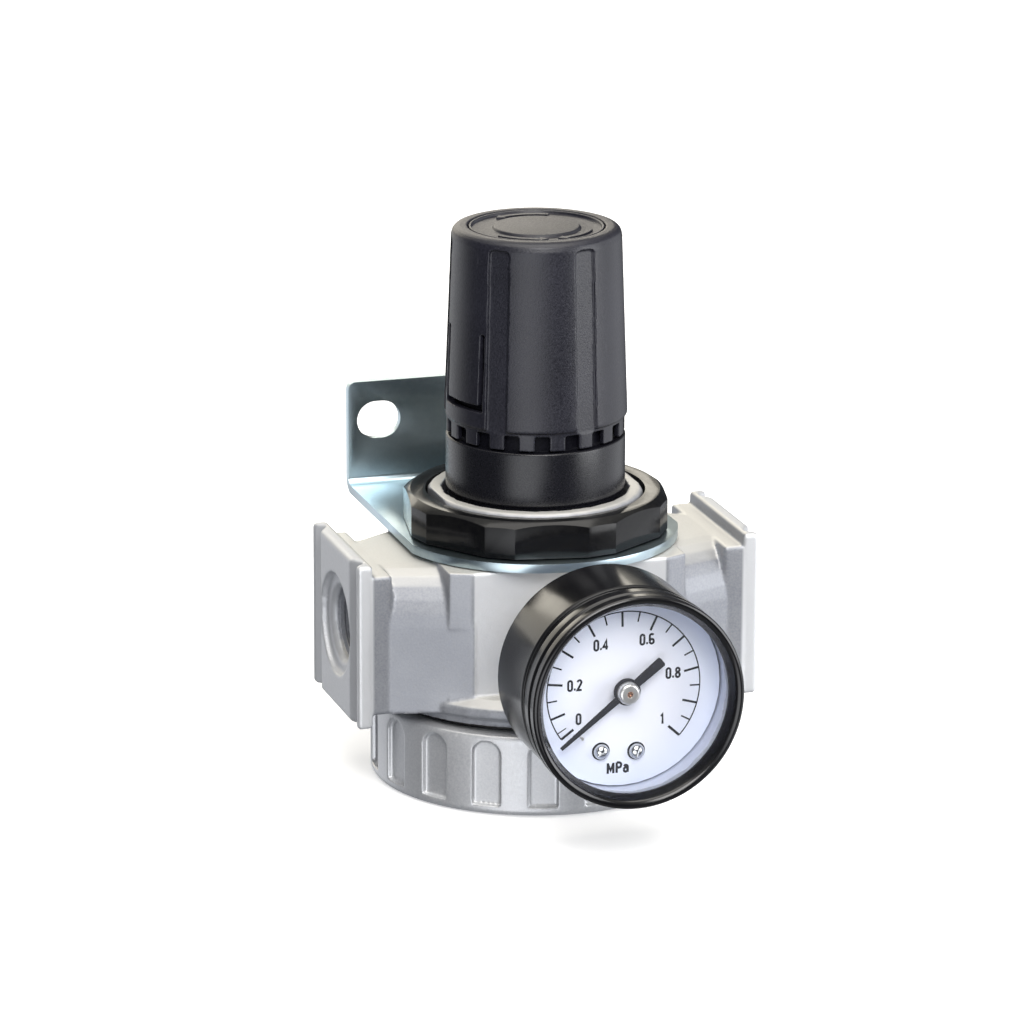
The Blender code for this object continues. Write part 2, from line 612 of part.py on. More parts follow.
def tooth_gaps(plastic):
    """The gaps between the locking teeth at the knob's foot."""
    half = TOOTH_GAP / 2
    outline = [(-half, KNOB_LOW - 1 * MM), (half, KNOB_LOW - 1 * MM), (half, TOOTH_TOP), (-half, TOOTH_TOP)]
    pieces = []
    for i in range(TEETH):
        out = facing(PANEL_PHASE + 360.0 * i / TEETH)
        pieces.append(plate("gap", [outline], 15.0 * MM, 20.0 * MM, plastic, out))
    return gather("gaps", pieces, plastic)


def tongue_slits(plastic):
    """The U-shaped slits that free a snap tongue in two opposite panels."""
    wide, slit = 6.1 * MM, 1.0 * MM
    low, floor, high = 76.5 * MM, 77.9 * MM, 92.0 * MM
    outline = [(-wide, low), (wide, low), (wide, high), (wide - slit, high), (wide - slit, floor),
               (slit - wide, floor), (slit - wide, high), (-wide, high)]
    pieces = []
    for degrees in (PANEL_PHASE - 60.0, PANEL_PHASE + 120.0):
        pieces.append(plate("slit", [outline], 11.0 * MM, 20.0 * MM, plastic, facing(degrees)))
    return gather("slits", pieces, plastic)


def knob():
    plastic = black_plastic("knob_plastic")
    seat = KNOB_TOP - 1.6 * MM
    roof = KNOB_TOP - 3.8 * MM
    profile = [(0.0, seat), (13.6 * MM, seat), (13.6 * MM, KNOB_TOP), (15.2 * MM, KNOB_TOP),
               (16.1 * MM, KNOB_TOP - 0.35 * MM), (16.6 * MM, KNOB_TOP - 1.0 * MM),
               (KNOB_TOP_RADIUS, KNOB_TOP - 1.9 * MM), (KNOB_FOOT_RADIUS, KNOB_LEDGE + 0.5 * MM),
               (KNOB_RIM_RADIUS, KNOB_LEDGE), (KNOB_RIM_RADIUS, KNOB_LOW), (KNOB_BORE, KNOB_LOW),
               (KNOB_BORE, 94.5 * MM), (14.8 * MM, 97.0 * MM), (14.8 * MM, roof), (6.5 * MM, roof),
               (6.5 * MM, 93.6 * MM), (0.0, 93.6 * MM)]
    made = turned("knob", profile, plastic, steps=40)
    cut(made, knob_grooves(plastic), tooth_gaps(plastic), tongue_slits(plastic))
    cut(made, plate("drive_hole", [hexagon(SCREW_HEX + 0.6 * MM)], 92.0 * MM, 106.6 * MM, plastic))


def knob_cap():
    """The disc pressed into the knob's top."""
    low, high = KNOB_TOP - 1.3 * MM, KNOB_TOP - 0.5 * MM
    profile = [(0.0, KNOB_TOP - 0.1 * MM), (8.4 * MM, KNOB_TOP - 0.1 * MM), (8.7 * MM, high),
               (13.2 * MM, high), (13.2 * MM, low), (0.0, low)]
    turned("knob_cap", profile, black_plastic("knob_cap_plastic", 0.5))


# ---------------------------------------------------------------- panel nut and bracket

def panel_nut():
    plastic = black_plastic("panel_nut_plastic", 0.2)
    corner = NUT_FLAT / math.cos(math.radians(22.5 - NUT_FACET))
    outline = []
    for i in range(8):
        middle = NUT_PHASE - 90.0 + 45.0 * i
        outline += [polar(corner, middle - 22.5 + NUT_FACET), polar(corner, middle + 22.5 - NUT_FACET)]
    made = plate("panel_nut", [outline, circle(NUT_BORE, 28)], NUT_LOW, NUT_HIGH, plastic)
    bevel(made, 0.7 * MM, 2, 60.0)


def bracket_profile():
    """The L section of the bracket in (y, z): a flat foot, a bend and an upright."""
    front, back, top = -(BRACKET_NOSE + 1 * MM), BRACKET_BACK, BRACKET_TOP
    low, high = BRACKET_LOW, BRACKET_LOW + BRACKET_THICK
    outer, inner = BRACKET_BEND, BRACKET_BEND - BRACKET_THICK
    centre = (back - outer, low + outer)
    bend_out = arc(outer, -90.0, 0.0, 5, centre)
    bend_in = arc(inner, 0.0, -90.0, 5, centre)
    upper_end = [(back, top), (back - BRACKET_THICK, top)]
    return [(front, low)] + bend_out + upper_end + bend_in + [(front, high)]


def bracket():
    """The angle bracket: its foot is clamped under the panel nut, and its upright goes to a wall."""
    metal = plated_steel("bracket_zinc")
    wide = BRACKET_HALF_WIDTH
    upright = Matrix(((0, 0, 1, 0), (1, 0, 0, 0), (0, 1, 0, 0), (0, 0, 0, 1)))    # local (x, y, z) -> (y, z, x)
    made = plate("bracket", [bracket_profile()], -wide, wide, metal, upright)
    meet = math.degrees(math.asin(wide / BRACKET_NOSE))
    nose = arc(BRACKET_NOSE, -90.0 - meet, -90.0 + meet, 24)
    plan = nose + [(wide + 1 * MM, nose[-1][1]), (wide + 1 * MM, 50 * MM), (-wide - 1 * MM, 50 * MM),
                   (-wide - 1 * MM, nose[0][1])]
    boolean(made, plate("plan", [plan], 40 * MM, 80 * MM, metal), "INTERSECT")
    cut(made, rod("neck_hole", NUT_BORE, 40 * MM, 55 * MM, metal, steps=36))
    flat = (BRACKET_HOLE_WIDE - BRACKET_HOLE_HIGH) / 2
    for side in (-1, 1):
        right = arc(BRACKET_HOLE_HIGH / 2, -90.0, 90.0, 10, (side * BRACKET_HOLE_X + flat, BRACKET_HOLE_Z))
        left = arc(BRACKET_HOLE_HIGH / 2, 90.0, 270.0, 10, (side * BRACKET_HOLE_X - flat, BRACKET_HOLE_Z))
        cut(made, plate("oblong", [right + left], -50 * MM, -30 * MM, metal, TO_FRONT))
        inner, outer, top = side * (wide - 1.3 * MM), side * (wide + 1 * MM), BRACKET_TOP
        centre = (inner, top - 1.3 * MM)
        start, end = (0.0, 90.0) if side > 0 else (180.0, 90.0)
        corner = arc(1.3 * MM, start, end, 4, centre)
        corner += [(inner, top + 1 * MM), (outer, top + 1 * MM), (outer, top - 1.3 * MM)]
        cut(made, plate("corner", [corner], -50 * MM, -30 * MM, metal, TO_FRONT))


def port_plug():
    """The plug in the spare gauge port at the back."""
    metal = plated_steel("port_plug_steel")
    out = BOSS_DEPTH + 0.5 * MM
    made = rod("port_plug", GAUGE_PORT_RADIUS - GAP, 15.0 * MM, out, metal, TO_BACK, (0, 0, PORT_AXIS))
    hole = plate("key_hole", [hexagon(5.0 * MM)], out - 4 * MM, out + 1 * MM, metal, TO_BACK, (0, 0, PORT_AXIS))
    cut(made, hole)


# ---------------------------------------------------------------- gauge

def on_gauge(name, profile, material, steps=32):
    """A turned piece on the gauge's axis. Heights are distances in front of the knob's axis."""
    return turned(name, profile, material, TO_FRONT, (0, 0, PORT_AXIS), steps)


def flat_on_gauge(name, outlines, low, high, material):
    return plate(name, outlines, low, high, material, TO_FRONT, (0, 0, PORT_AXIS))


def gauge_stem():
    """The brass stem: its thread is in the front gauge port, and its block holds the bourdon tube."""
    metal = brass("gauge_stem_brass")
    profile = [(0.0, 44.2 * MM), (7.4 * MM, 44.2 * MM), (7.4 * MM, 42.7 * MM), (5.5 * MM, 42.7 * MM),
               (5.5 * MM, 30.5 * MM), (4.9 * MM, 30.0 * MM), (4.9 * MM, BOSS_DEPTH + 0.4 * MM),
               (GAUGE_PORT_RADIUS - GAP, BOSS_DEPTH + 0.4 * MM), (GAUGE_PORT_RADIUS - GAP, 15.0 * MM),
               (0.0, 15.0 * MM)]
    made = on_gauge("gauge_stem", profile, metal, 16)
    nut = flat_on_gauge("spanner_hex", [hexagon(12.0 * MM)], BOSS_DEPTH + 0.4 * MM, 31.0 * MM, metal)
    square = [(-5 * MM, -4 * MM), (5 * MM, -4 * MM), (5 * MM, 4 * MM), (-5 * MM, 4 * MM)]
    join(made, nut, flat_on_gauge("socket", [square], 44.0 * MM, 49.6 * MM, metal))
    cut(made, rod("air_way", 1.2 * MM, 14.0 * MM, 47.0 * MM, metal, TO_FRONT, (0, 0, PORT_AXIS), 12))


def gauge_case():
    back, inner = GAUGE_BACK, GAUGE_RADIUS - 1.1 * MM
    profile = [(5.9 * MM, back + 1.2 * MM), (inner, back + 1.2 * MM), (inner, 60.2 * MM),
               (20.05 * MM, 60.2 * MM),
               (20.05 * MM, 57.0 * MM), (GAUGE_RADIUS - 0.2 * MM, 56.8 * MM), (GAUGE_RADIUS, 56.2 * MM),
               (GAUGE_RADIUS, back + 1.0 * MM), (GAUGE_RADIUS - 0.3 * MM, back + 0.3 * MM),
               (GAUGE_RADIUS - 1.0 * MM, back), (5.9 * MM, back)]
    on_gauge("gauge_case", profile, black_plastic("gauge_case_paint", 0.15), 32)


def gauge_bezel():
    inner, lip = 20.35 * MM, 62.6 * MM
    profile = [(WINDOW_RADIUS, lip), (WINDOW_RADIUS, lip + 0.4 * MM), (19.6 * MM, 64.9 * MM),
               (20.3 * MM, GAUGE_FRONT), (20.8 * MM, GAUGE_FRONT - 0.3 * MM),
               (BEZEL_RADIUS, GAUGE_FRONT - 0.9 * MM),
               (BEZEL_RADIUS, 62.9 * MM), (20.7 * MM, 62.5 * MM), (20.7 * MM, 62.1 * MM),
               (BEZEL_RADIUS, 61.7 * MM),
               (BEZEL_RADIUS, 59.4 * MM), (20.7 * MM, 58.9 * MM), (inner, 58.9 * MM), (inner, lip)]
    on_gauge("gauge_bezel", profile, black_plastic("gauge_bezel_paint", 0.15), 32)


def gauge_lens():
    clear = finish("gauge_lens_clear", (0.9, 0.93, 0.95), 0.03, 0.0, 0.3)
    profile = [(0.0, 62.3 * MM), (19.95 * MM, 62.3 * MM), (19.95 * MM, 61.0 * MM), (0.0, 61.0 * MM)]
    on_gauge("gauge_lens", profile, clear)


def lens_gasket():
    soft = rubber("lens_gasket_rubber")
    ring("lens_gasket", 18.9 * MM, 19.9 * MM, 60.4 * MM, 60.75 * MM, soft, TO_FRONT, (0, 0, PORT_AXIS), 20)


def dial():
    white = finish("dial_white", (0.90, 0.92, 0.95), 0.4)
    holes = [circle(1.5 * MM, 16)]
    for side in (-1, 1):
        holes.append(circle(0.95 * MM, 12, dial_screw_place(side)))
    flat_on_gauge("dial", [circle(DIAL_RADIUS, 40)] + holes, DIAL_FACE - 0.6 * MM, DIAL_FACE, white)


def dial_screw_place(side):
    """Where a dial screw stands, across and up from the gauge's axis."""
    upright = Vector((side * DIAL_SCREW_X, DIAL_SCREW_Z))
    return tuple(Matrix.Rotation(math.radians(DIAL_TURN), 2) @ upright)


def dial_screw(name, side):
    steel = finish(name + "_steel", (0.75, 0.76, 0.78), 0.2, 1.0)
    face = DIAL_FACE + GAP
    profile = [(0.0, face + 1.15 * MM), (0.8 * MM, face + 1.05 * MM), (1.4 * MM, face + 0.7 * MM),
               (1.75 * MM, face + 0.1 * MM), (1.75 * MM, face), (0.65 * MM, face), (0.65 * MM, 52.9 * MM),
               (0.0, 52.9 * MM)]
    x, z = dial_screw_place(side)
    centre = (x, 0.0, PORT_AXIS + z)
    made = turned(name, profile, steel, TO_FRONT, centre, 16)
    slot = [(-2 * MM, -0.2 * MM), (2 * MM, -0.2 * MM), (2 * MM, 0.2 * MM), (-2 * MM, 0.2 * MM)]
    cut(made, plate("slot", [slot], face + 0.6 * MM, face + 2 * MM, steel, TO_FRONT, centre))


def movement_plate():
    """The plate that the gauge's movement and its dial are mounted on, with pillars to the stem."""
    metal = brass("movement_plate_brass")
    wide, low, high = 9.5 * MM, -15.5 * MM, 17.0 * MM
    outline = [(-wide, low), (wide, low), (wide, 8 * MM), (4 * MM, high), (-4 * MM, high), (-wide, 8 * MM)]
    holes = [circle(1.3 * MM, 16), circle(1.1 * MM, 12, (0.0, sector_distance()))]
    for side in (-1, 1):
        holes.append(circle(1.0 * MM, 12, dial_screw_place(side)))
    made = flat_on_gauge("movement_plate", [outline] + holes, 53.5 * MM, 54.5 * MM, metal)
    for side in (-1, 1):
        centre = (side * 4.0 * MM, 0.0, PORT_AXIS - 3.2 * MM)
        join(made, rod("pillar", 0.75 * MM, 49.9 * MM, 54.0 * MM, metal, TO_FRONT, centre, 12))


def sector_distance():
    return GEAR_MODULE * (PINION_TEETH + SECTOR_TEETH) / 2


def tooth_outline(radius, middle, addendum, dedendum, thickness):
    """One straight-sided gear tooth, from root to root, centred on an angle."""
    found = []
    for depth, share in ((-dedendum, 1.35), (addendum, 0.55)):
        half = math.degrees(thickness * share / 2 / (radius + depth))
        found.append((radius + depth, half))
    (root, wide), (tip, narrow) = found
    rising = [polar(root, middle - wide), polar(tip, middle - narrow)]
    falling = [polar(tip, middle + narrow), polar(root, middle + wide)]
    return rising + falling


def sector_gear():
    """The toothed sector: its teeth stand over the swing that the pinion's range needs."""
    metal = brass("sector_gear_brass")
    radius = GEAR_MODULE * SECTOR_TEETH / 2
    pitch = 360.0 / SECTOR_TEETH
    middle = -90.0 - SECTOR_SWING / 2
    outline = []
    count = 8
    for i in range(count):
        angle = -90.0 + pitch * (i - count + 1.5)
        outline += tooth_outline(radius, angle, 0.22 * MM, 0.5 * MM, 0.42 * math.pi * GEAR_MODULE)
    outline += [polar(9.6 * MM, middle + 16.0), polar(2.2 * MM, middle + 60.0)]
    outline += arc(2.2 * MM, middle + 80.0, middle + 280.0, 8)
    outline += [polar(2.2 * MM, middle - 60.0), polar(9.6 * MM, middle - 16.0)]
    centre = (0, 0, PORT_AXIS + sector_distance())
    made = plate("sector_gear", [outline], 51.3 * MM, 52.1 * MM, metal, TO_FRONT, centre)
    join(made, rod("sector_pin", 0.8 * MM, 50.6 * MM, 54.3 * MM, metal, TO_FRONT, centre, 12))


def pinion():
    metal = brass("pinion_brass")
    radius = GEAR_MODULE * PINION_TEETH / 2
    outline = []
    for i in range(PINION_TEETH):
        angle = 90.0 + 360.0 * i / PINION_TEETH
        outline += tooth_outline(radius, angle, 0.22 * MM, 0.55 * MM, 0.42 * math.pi * GEAR_MODULE)
    made = flat_on_gauge("pinion", [outline], 51.0 * MM, 52.4 * MM, metal)
    join(made, rod("staff", 0.75 * MM, 50.2 * MM, 57.9 * MM, metal, TO_FRONT, (0, 0, PORT_AXIS), 16))


def pointer():
    black = finish("pointer_black", (0.015, 0.015, 0.02), 0.35)
    outline = [(POINTER_TIP, -0.28 * MM), (POINTER_TIP, 0.28 * MM), (2.0 * MM, 0.62 * MM)]
    outline += arc(1.9 * MM, 25.0, 155.0, 6)
    outline += [(-2.2 * MM, 0.72 * MM), (-POINTER_TAIL, 0.95 * MM), (-POINTER_TAIL, -0.95 * MM),
                (-2.2 * MM, -0.72 * MM)]
    outline += arc(1.9 * MM, 205.0, 335.0, 6)
    outline += [(2.0 * MM, -0.62 * MM)]
    turn = TO_FRONT @ Matrix.Rotation(math.radians(POINTER_REST), 4, "Z")
    plate("pointer", [outline, circle(1.05 * MM, 16)], 57.5 * MM, 57.9 * MM, black, turn, (0, 0, PORT_AXIS))


def pointer_boss():
    nickel = finish("pointer_boss_nickel", (0.72, 0.70, 0.67), 0.25, 1.0)
    profile = [(0.0, 59.2 * MM), (0.55 * MM, 59.2 * MM), (0.6 * MM, 59.6 * MM), (1.9 * MM, 59.6 * MM),
               (2.2 * MM, 59.3 * MM), (2.2 * MM, 58.2 * MM), (0.0, 58.2 * MM)]
    on_gauge("pointer_boss", profile, nickel, 20)


def stop_pin():
    """The pin on the dial that the pointer rests against at zero."""
    x, z = polar(12.3 * MM, POINTER_REST + 4.6)
    steel = plated_steel("stop_pin_steel")
    rod("stop_pin", 0.3 * MM, DIAL_FACE + GAP, 58.4 * MM, steel, TO_FRONT, (x, 0.0, PORT_AXIS + z), 12)


def bourdon_tube():
    """The curved pressure tube: it starts at the stem's block and runs round inside the case."""
    height, radius, bend = 46.9 * MM, 16.2 * MM, 2.6 * MM
    rise = [(0.0, -4.3 * MM - GAP), (0.0, -8.5 * MM)]
    turn_in = arc(bend, 180.0, 270.0, 5, (bend, -radius + bend))
    start = math.degrees(math.atan2(-radius, bend)) + 3.0
    sweep = arc(radius, start, 160.0, 14)
    points = [(x, y, height) for x, y in rise + turn_in + sweep]
    tube("bourdon_tube", points, 1.2 * MM, brass("bourdon_brass"), TO_FRONT, (0, 0, PORT_AXIS))


def tube_tip():
    """The end plug of the bourdon tube, where the link to the sector is hooked."""
    x, z = polar(16.2 * MM, 164.5)
    metal = brass("tube_tip_brass")
    block("tube_tip", (x - 1.4 * MM, -48.4 * MM, PORT_AXIS + z - 0.3 * MM - 1.6 * MM),
          (x + 1.4 * MM, -45.4 * MM, PORT_AXIS + z + 0.9 * MM - 1.6 * MM), metal)


def build():
    clear_scene()
    body()
    bottom_cap()
    cap_seal()
    valve_guide()
    o_ring("guide_o_ring", 18.0 * MM, 0.5 * MM, 17.2 * MM)
    valve()
    valve_seal()
    valve_spring()
    diaphragm()
    diaphragm_plate()
    relief_seat()
    bonnet()
    main_spring()
    adjusting_nut()
    adjusting_screw()
    thrust_washer()
    knob()
    knob_cap()
    panel_nut()
    bracket()
    port_plug()
    gauge_stem()
    gauge_case()
    gauge_bezel()
    gauge_lens()
    lens_gasket()
    dial()
    dial_screw("dial_screw_left", -1)
    dial_screw("dial_screw_right", 1)
    movement_plate()
    sector_gear()
    pinion()
    pointer()
    pointer_boss()
    stop_pin()
    bourdon_tube()
    tube_tip()


build()
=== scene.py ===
"""Looks of the air pressure regulator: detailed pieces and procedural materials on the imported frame.

Metres. +Z runs up along the knob's axis, and the gauge looks along -Y.
"""
import math

import bmesh
import bpy
from mathutils import Matrix, Vector


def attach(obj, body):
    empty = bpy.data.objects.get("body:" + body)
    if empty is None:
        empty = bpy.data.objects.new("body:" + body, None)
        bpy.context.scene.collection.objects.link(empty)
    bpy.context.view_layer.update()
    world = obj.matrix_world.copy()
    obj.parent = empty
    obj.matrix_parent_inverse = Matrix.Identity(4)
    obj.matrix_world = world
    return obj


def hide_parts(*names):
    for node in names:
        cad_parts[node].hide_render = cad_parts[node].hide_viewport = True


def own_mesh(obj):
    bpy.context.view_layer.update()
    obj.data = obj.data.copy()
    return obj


MM = 0.001
ON_AXIS = 1e-9                          # a radius below this is a point on the axis
SHARP = 1e-7                            # a corner's reach below this leaves it sharp
WELD = 1e-6                             # vertices this close become one
MOST_FACES = 190000                     # most triangles in a melted piece
AXIS_Z = 33.0 * MM                      # height of the ports and the gauge
GAUGE_AXIS = (0.0, 0.0, AXIS_Z)
NECK_HOLE = 21.75 * MM                  # radius of the nut's and the bracket's hole round the neck
BRACKET_TOP = 71.2 * MM
DIAL_TURN = -4.2                        # degrees
INK_LOW, INK_HIGH = 55.49 * MM, 55.53 * MM    # the printed layer's faces, in front of the knob's axis
FIGURE_WIDTH = 0.89                     # the width of the dial's figures, against plain ones
ALONG_Z = Matrix.Identity(4)
TO_FRONT = Matrix.Rotation(math.radians(90.0), 4, "X")    # local +Z looks along -Y
TO_OUTLET = Matrix.Rotation(math.radians(90.0), 4, "Y")   # local +Z looks along +X
TO_INLET = Matrix.Rotation(math.radians(-90.0), 4, "Y")   # local +Z looks along -X
FROM_YZ = Matrix(((0, 0, 1, 0), (1, 0, 0, 0), (0, 1, 0, 0), (0, 0, 0, 1)))    # local (x, y) are (y, z)


# ---------------------------------------------------------------- shapes

def mm(points):
    """Points written in millimetres."""
    return [tuple(value * MM for value in point) for point in points]


def polar(radius, degrees):
    angle = math.radians(degrees)
    return (radius * math.cos(angle), radius * math.sin(angle))


def arc(radius, start, end, count, centre=(0.0, 0.0)):
    """Points on an arc, both ends included."""
    found = []
    for i in range(count + 1):
        x, y = polar(radius, start + (end - start) * i / count)
        found.append((centre[0] + x, centre[1] + y))
    return found


def circle(radius, count):
    return arc(radius, 0.0, 360.0 - 360.0 / count, count - 1)


def box(left, low, right, high):
    return [(left, low), (right, low), (right, high), (left, high)]


def hexagon(across_flats):
    corner = across_flats / 2 / math.cos(math.radians(30.0))
    return [polar(corner, 60.0 * i) for i in range(6)]


def facing(degrees):
    """A turn that lets local +Z look outwards round the knob's axis, at an angle from -Y towards +X."""
    return Matrix.Rotation(math.radians(degrees), 4, "Z") @ TO_FRONT


def rounded(points, radius, count=4):
    """An outline with its corners rounded, apart from those on the axis. A point may carry its own radius."""
    found = []
    total = len(points)
    for i, corner in enumerate(points):
        here = Vector(corner[:2])
        wish = corner[2] if len(corner) > 2 else radius
        before = Vector(points[i - 1][:2]) - here
        after = Vector(points[(i + 1) % total][:2]) - here
        reach = min(wish, 0.45 * before.length, 0.45 * after.length)
        if here.x < ON_AXIS or reach < SHARP:
            found.append(tuple(here))
            continue
        start = here + before.normalized() * reach
        end = here + after.normalized() * reach
        for k in range(count + 1):
            t = k / count
            found.append(tuple(start.lerp(here, t).lerp(here.lerp(end, t), t)))
    return found


def linked(name, mesh, turn=ALONG_Z, at=(0, 0, 0)):
    made = bpy.data.objects.new(name, mesh)
    bpy.context.scene.collection.objects.link(made)
    made.matrix_world = Matrix.Translation(Vector(at)) @ turn
    return made


def settled(item):
    """The object with its place and turn moved into its mesh."""
    item.data.transform(item.matrix_world)
    item.matrix_world = ALONG_Z
    return item


def smooth(item, angle=32.0):
    item.data.shade_smooth()
    item.data.set_sharp_from_angle(angle=math.radians(angle))
    return item


def lathe(name, profile, steps=192, turn=ALONG_Z, at=(0, 0, 0)):
    """A solid of revolution from an outline of (radius, height) points."""
    shape = bmesh.new()
    rings = []
    for radius, height in profile:
        if radius < ON_AXIS:
            rings.append([shape.verts.new((0.0, 0.0, height))])
            continue
        spots = [(*polar(radius, 360.0 * i / steps), height) for i in range(steps)]
        rings.append([shape.verts.new(spot) for spot in spots])
    closed = len(rings[0]) > 1
    for k in range(len(rings) if closed else len(rings) - 1):
        join_rings(shape, rings[k], rings[(k + 1) % len(rings)], steps)
    bmesh.ops.recalc_face_normals(shape, faces=shape.faces)
    mesh = bpy.data.meshes.new(name)
    shape.to_mesh(mesh)
    shape.free()
    return smooth(linked(name, mesh, turn, at))


def join_rings(shape, upper, lower, steps):
    """Faces between two rings, either of which may be a single point."""
    for i in range(steps):
        j = (i + 1) % steps
        corners = [upper[i % len(upper)], upper[j % len(upper)],
                   lower[j % len(lower)], lower[i % len(lower)]]
        corners = [v for n, v in enumerate(corners) if v not in corners[:n]]
        if len(corners) > 2:
            shape.faces.new(corners)


def curve_mesh(curve, name):
    """The mesh of a curve, welded, and the curve removed."""
    guide = bpy.data.objects.new(name + "_guide", curve)
    bpy.context.scene.collection.objects.link(guide)
    bpy.context.view_layer.update()
    seen = guide.evaluated_get(bpy.context.evaluated_depsgraph_get())
    mesh = bpy.data.meshes.new_from_object(seen)
    bpy.data.objects.remove(guide, do_unlink=True)
    shape = bmesh.new()
    shape.from_mesh(mesh)
    bmesh.ops.remove_doubles(shape, verts=shape.verts, dist=WELD)
    bmesh.ops.recalc_face_normals(shape, faces=shape.faces)
    shape.to_mesh(mesh)
    shape.free()
    mesh.name = name
    mesh.materials.clear()
    return mesh


def slab(name, outlines, low, high, turn=ALONG_Z, at=(0, 0, 0)):
    """A flat piece between two heights. The outlines after the first are holes."""
    flat = bpy.data.curves.new(name, "CURVE")
    flat.dimensions = "2D"
    flat.fill_mode = "BOTH"
    flat.extrude = (high - low) / 2
    for outline in outlines:
        spline = flat.splines.new("POLY")
        spline.points.add(len(outline) - 1)
        for point, (x, y) in zip(spline.points, outline):
            point.co = (x, y, 0.0, 1.0)
        spline.use_cyclic_u = True
    mesh = curve_mesh(flat, name)
    mesh.transform(Matrix.Translation((0.0, 0.0, (low + high) / 2)))
    return linked(name, mesh, turn, at)


def wire(name, points, radius):
    """A round wire along a route, with filled caps."""
    path = bpy.data.curves.new(name, "CURVE")
    path.dimensions = "3D"
    path.bevel_depth = radius
    path.bevel_resolution = 5
    path.use_fill_caps = True
    spline = path.splines.new("POLY")
    spline.points.add(len(points) - 1)
    for point, spot in zip(spline.points, points):
        point.co = (*spot, 1.0)
    return smooth(linked(name, curve_mesh(path, name)), 50.0)


def merged(name, items):
    """One object of several, which are removed."""
    shape = bmesh.new()
    for item in items:
        copy = item.data.copy()
        copy.transform(item.matrix_world)
        shape.from_mesh(copy)
        bpy.data.objects.remove(item, do_unlink=True)
        bpy.data.meshes.remove(copy)
    mesh = bpy.data.meshes.new(name)
    shape.to_mesh(mesh)
    shape.free()
    return linked(name, mesh)


def frozen(item):
    """The object with its modifiers applied."""
    bpy.context.view_layer.update()
    seen = item.evaluated_get(bpy.context.evaluated_depsgraph_get())
    mesh = bpy.data.meshes.new_from_object(seen)
    old = item.data
    item.modifiers.clear()
    item.data = mesh
    mesh.name = item.name
    bpy.data.meshes.remove(old)
    return item


def boolean(item, other, operation="DIFFERENCE"):
    step = item.modifiers.new("boolean", "BOOLEAN")
    step.operation = operation
    step.solver = "EXACT"
    step.object = other
    frozen(item)
    bpy.data.objects.remove(other, do_unlink=True)
    return item


def bevelled(item, width, segments, angle=35.0):
    weld = item.modifiers.new("weld", "WELD")
    weld.merge_threshold = 2 * WELD
    step = item.modifiers.new("bevel", "BEVEL")
    step.width = width
    step.segments = segments
    step.limit_method = "ANGLE"
    step.angle_limit = math.radians(angle)
    return smooth(frozen(item))


def melted(item, voxel, passes):
    """The object as one skin with soft edges, as a casting or a moulding has."""
    skin = item.modifiers.new("skin", "REMESH")
    skin.mode = "VOXEL"
    skin.voxel_size = voxel
    soft = item.modifiers.new("soft", "SMOOTH")
    soft.factor = 0.5
    soft.iterations = passes
    frozen(item)
    count = 2 * len(item.data.polygons)
    if count > MOST_FACES:
        thin = item.modifiers.new("thin", "DECIMATE")
        thin.ratio = MOST_FACES / count
        frozen(item)
    item.data.shade_smooth()
    return item


# ---------------------------------------------------------------- materials

def node(tree, kind, **settings):
    made = tree.nodes.new(kind)
    for name, value in settings.items():
        setattr(made, name, value)
    return made


def noise(tree, where, scale, detail, roughness=0.55):
    made = node(tree, "ShaderNodeTexNoise")
    made.inputs["Scale"].default_value = scale
    made.inputs["Detail"].default_value = detail
    made.inputs["Roughness"].default_value = roughness
    tree.links.new(where, made.inputs["Vector"])
    return made.outputs["Fac"]


def ranged(tree, value, low, high, low_in=0.3, high_in=0.7):
    """A value brought from one range to another."""
    made = node(tree, "ShaderNodeMapRange")
    limits = (("From Min", low_in), ("From Max", high_in), ("To Min", low), ("To Max", high))
    for name, number in limits:
        made.inputs[name].default_value = number
    tree.links.new(value, made.inputs["Value"])
    return made.outputs["Result"]


def above(tree, value, start, end):
    """A mask that rises from 0 at the start to 1 at the end."""
    return ranged(tree, value, 0.0, 1.0, start, end)


def below(tree, value, start, end):
    """A mask that falls from 1 at the start to 0 at the end."""
    return ranged(tree, value, 1.0, 0.0, start, end)


def blended(tree, factor, first, second):
    """A colour between two colours or colour outputs."""
    made = node(tree, "ShaderNodeMix", data_type="RGBA")
    tree.links.new(factor, made.inputs["Factor"])
    for name, value in (("A", first), ("B", second)):
        for spot in [s for s in made.inputs if s.name == name and s.type == "RGBA"]:
            if isinstance(value, tuple):
                spot.default_value = (*value, 1.0)
            else:
                tree.links.new(value, spot)
    return [s for s in made.outputs if s.type == "RGBA"][0]


def bumped(tree, height, strength, distance, shader):
    made = node(tree, "ShaderNodeBump")
    made.inputs["Strength"].default_value = strength
    made.inputs["Distance"].default_value = distance
    tree.links.new(height, made.inputs["Height"])
    tree.links.new(made.outputs["Normal"], shader.inputs["Normal"])


def axes(tree, vector):
    """The X, Y and Z of a vector output."""
    made = node(tree, "ShaderNodeSeparateXYZ")
    tree.links.new(vector, made.inputs[0])
    return made.outputs["X"], made.outputs["Y"], made.outputs["Z"]


def sized(tree, value):
    made = node(tree, "ShaderNodeMath", operation="ABSOLUTE")
    tree.links.new(value, made.inputs[0])
    return made.outputs[0]


def combined(tree, operation, first, second):
    made = node(tree, "ShaderNodeMath", operation=operation)
    tree.links.new(first, made.inputs[0])
    tree.links.new(second, made.inputs[1])
    return made.outputs[0]


def spots_of(tree):
    """Where a point of the surface is, in the object's own axes."""
    return node(tree, "ShaderNodeTexCoord").outputs["Object"]


def blank(name):
    """A new material with its nodes, its shader and the places on the surface."""
    made = bpy.data.materials.new(name)
    made.use_nodes = True
    tree = made.node_tree
    return made, tree, tree.nodes["Principled BSDF"], spots_of(tree)


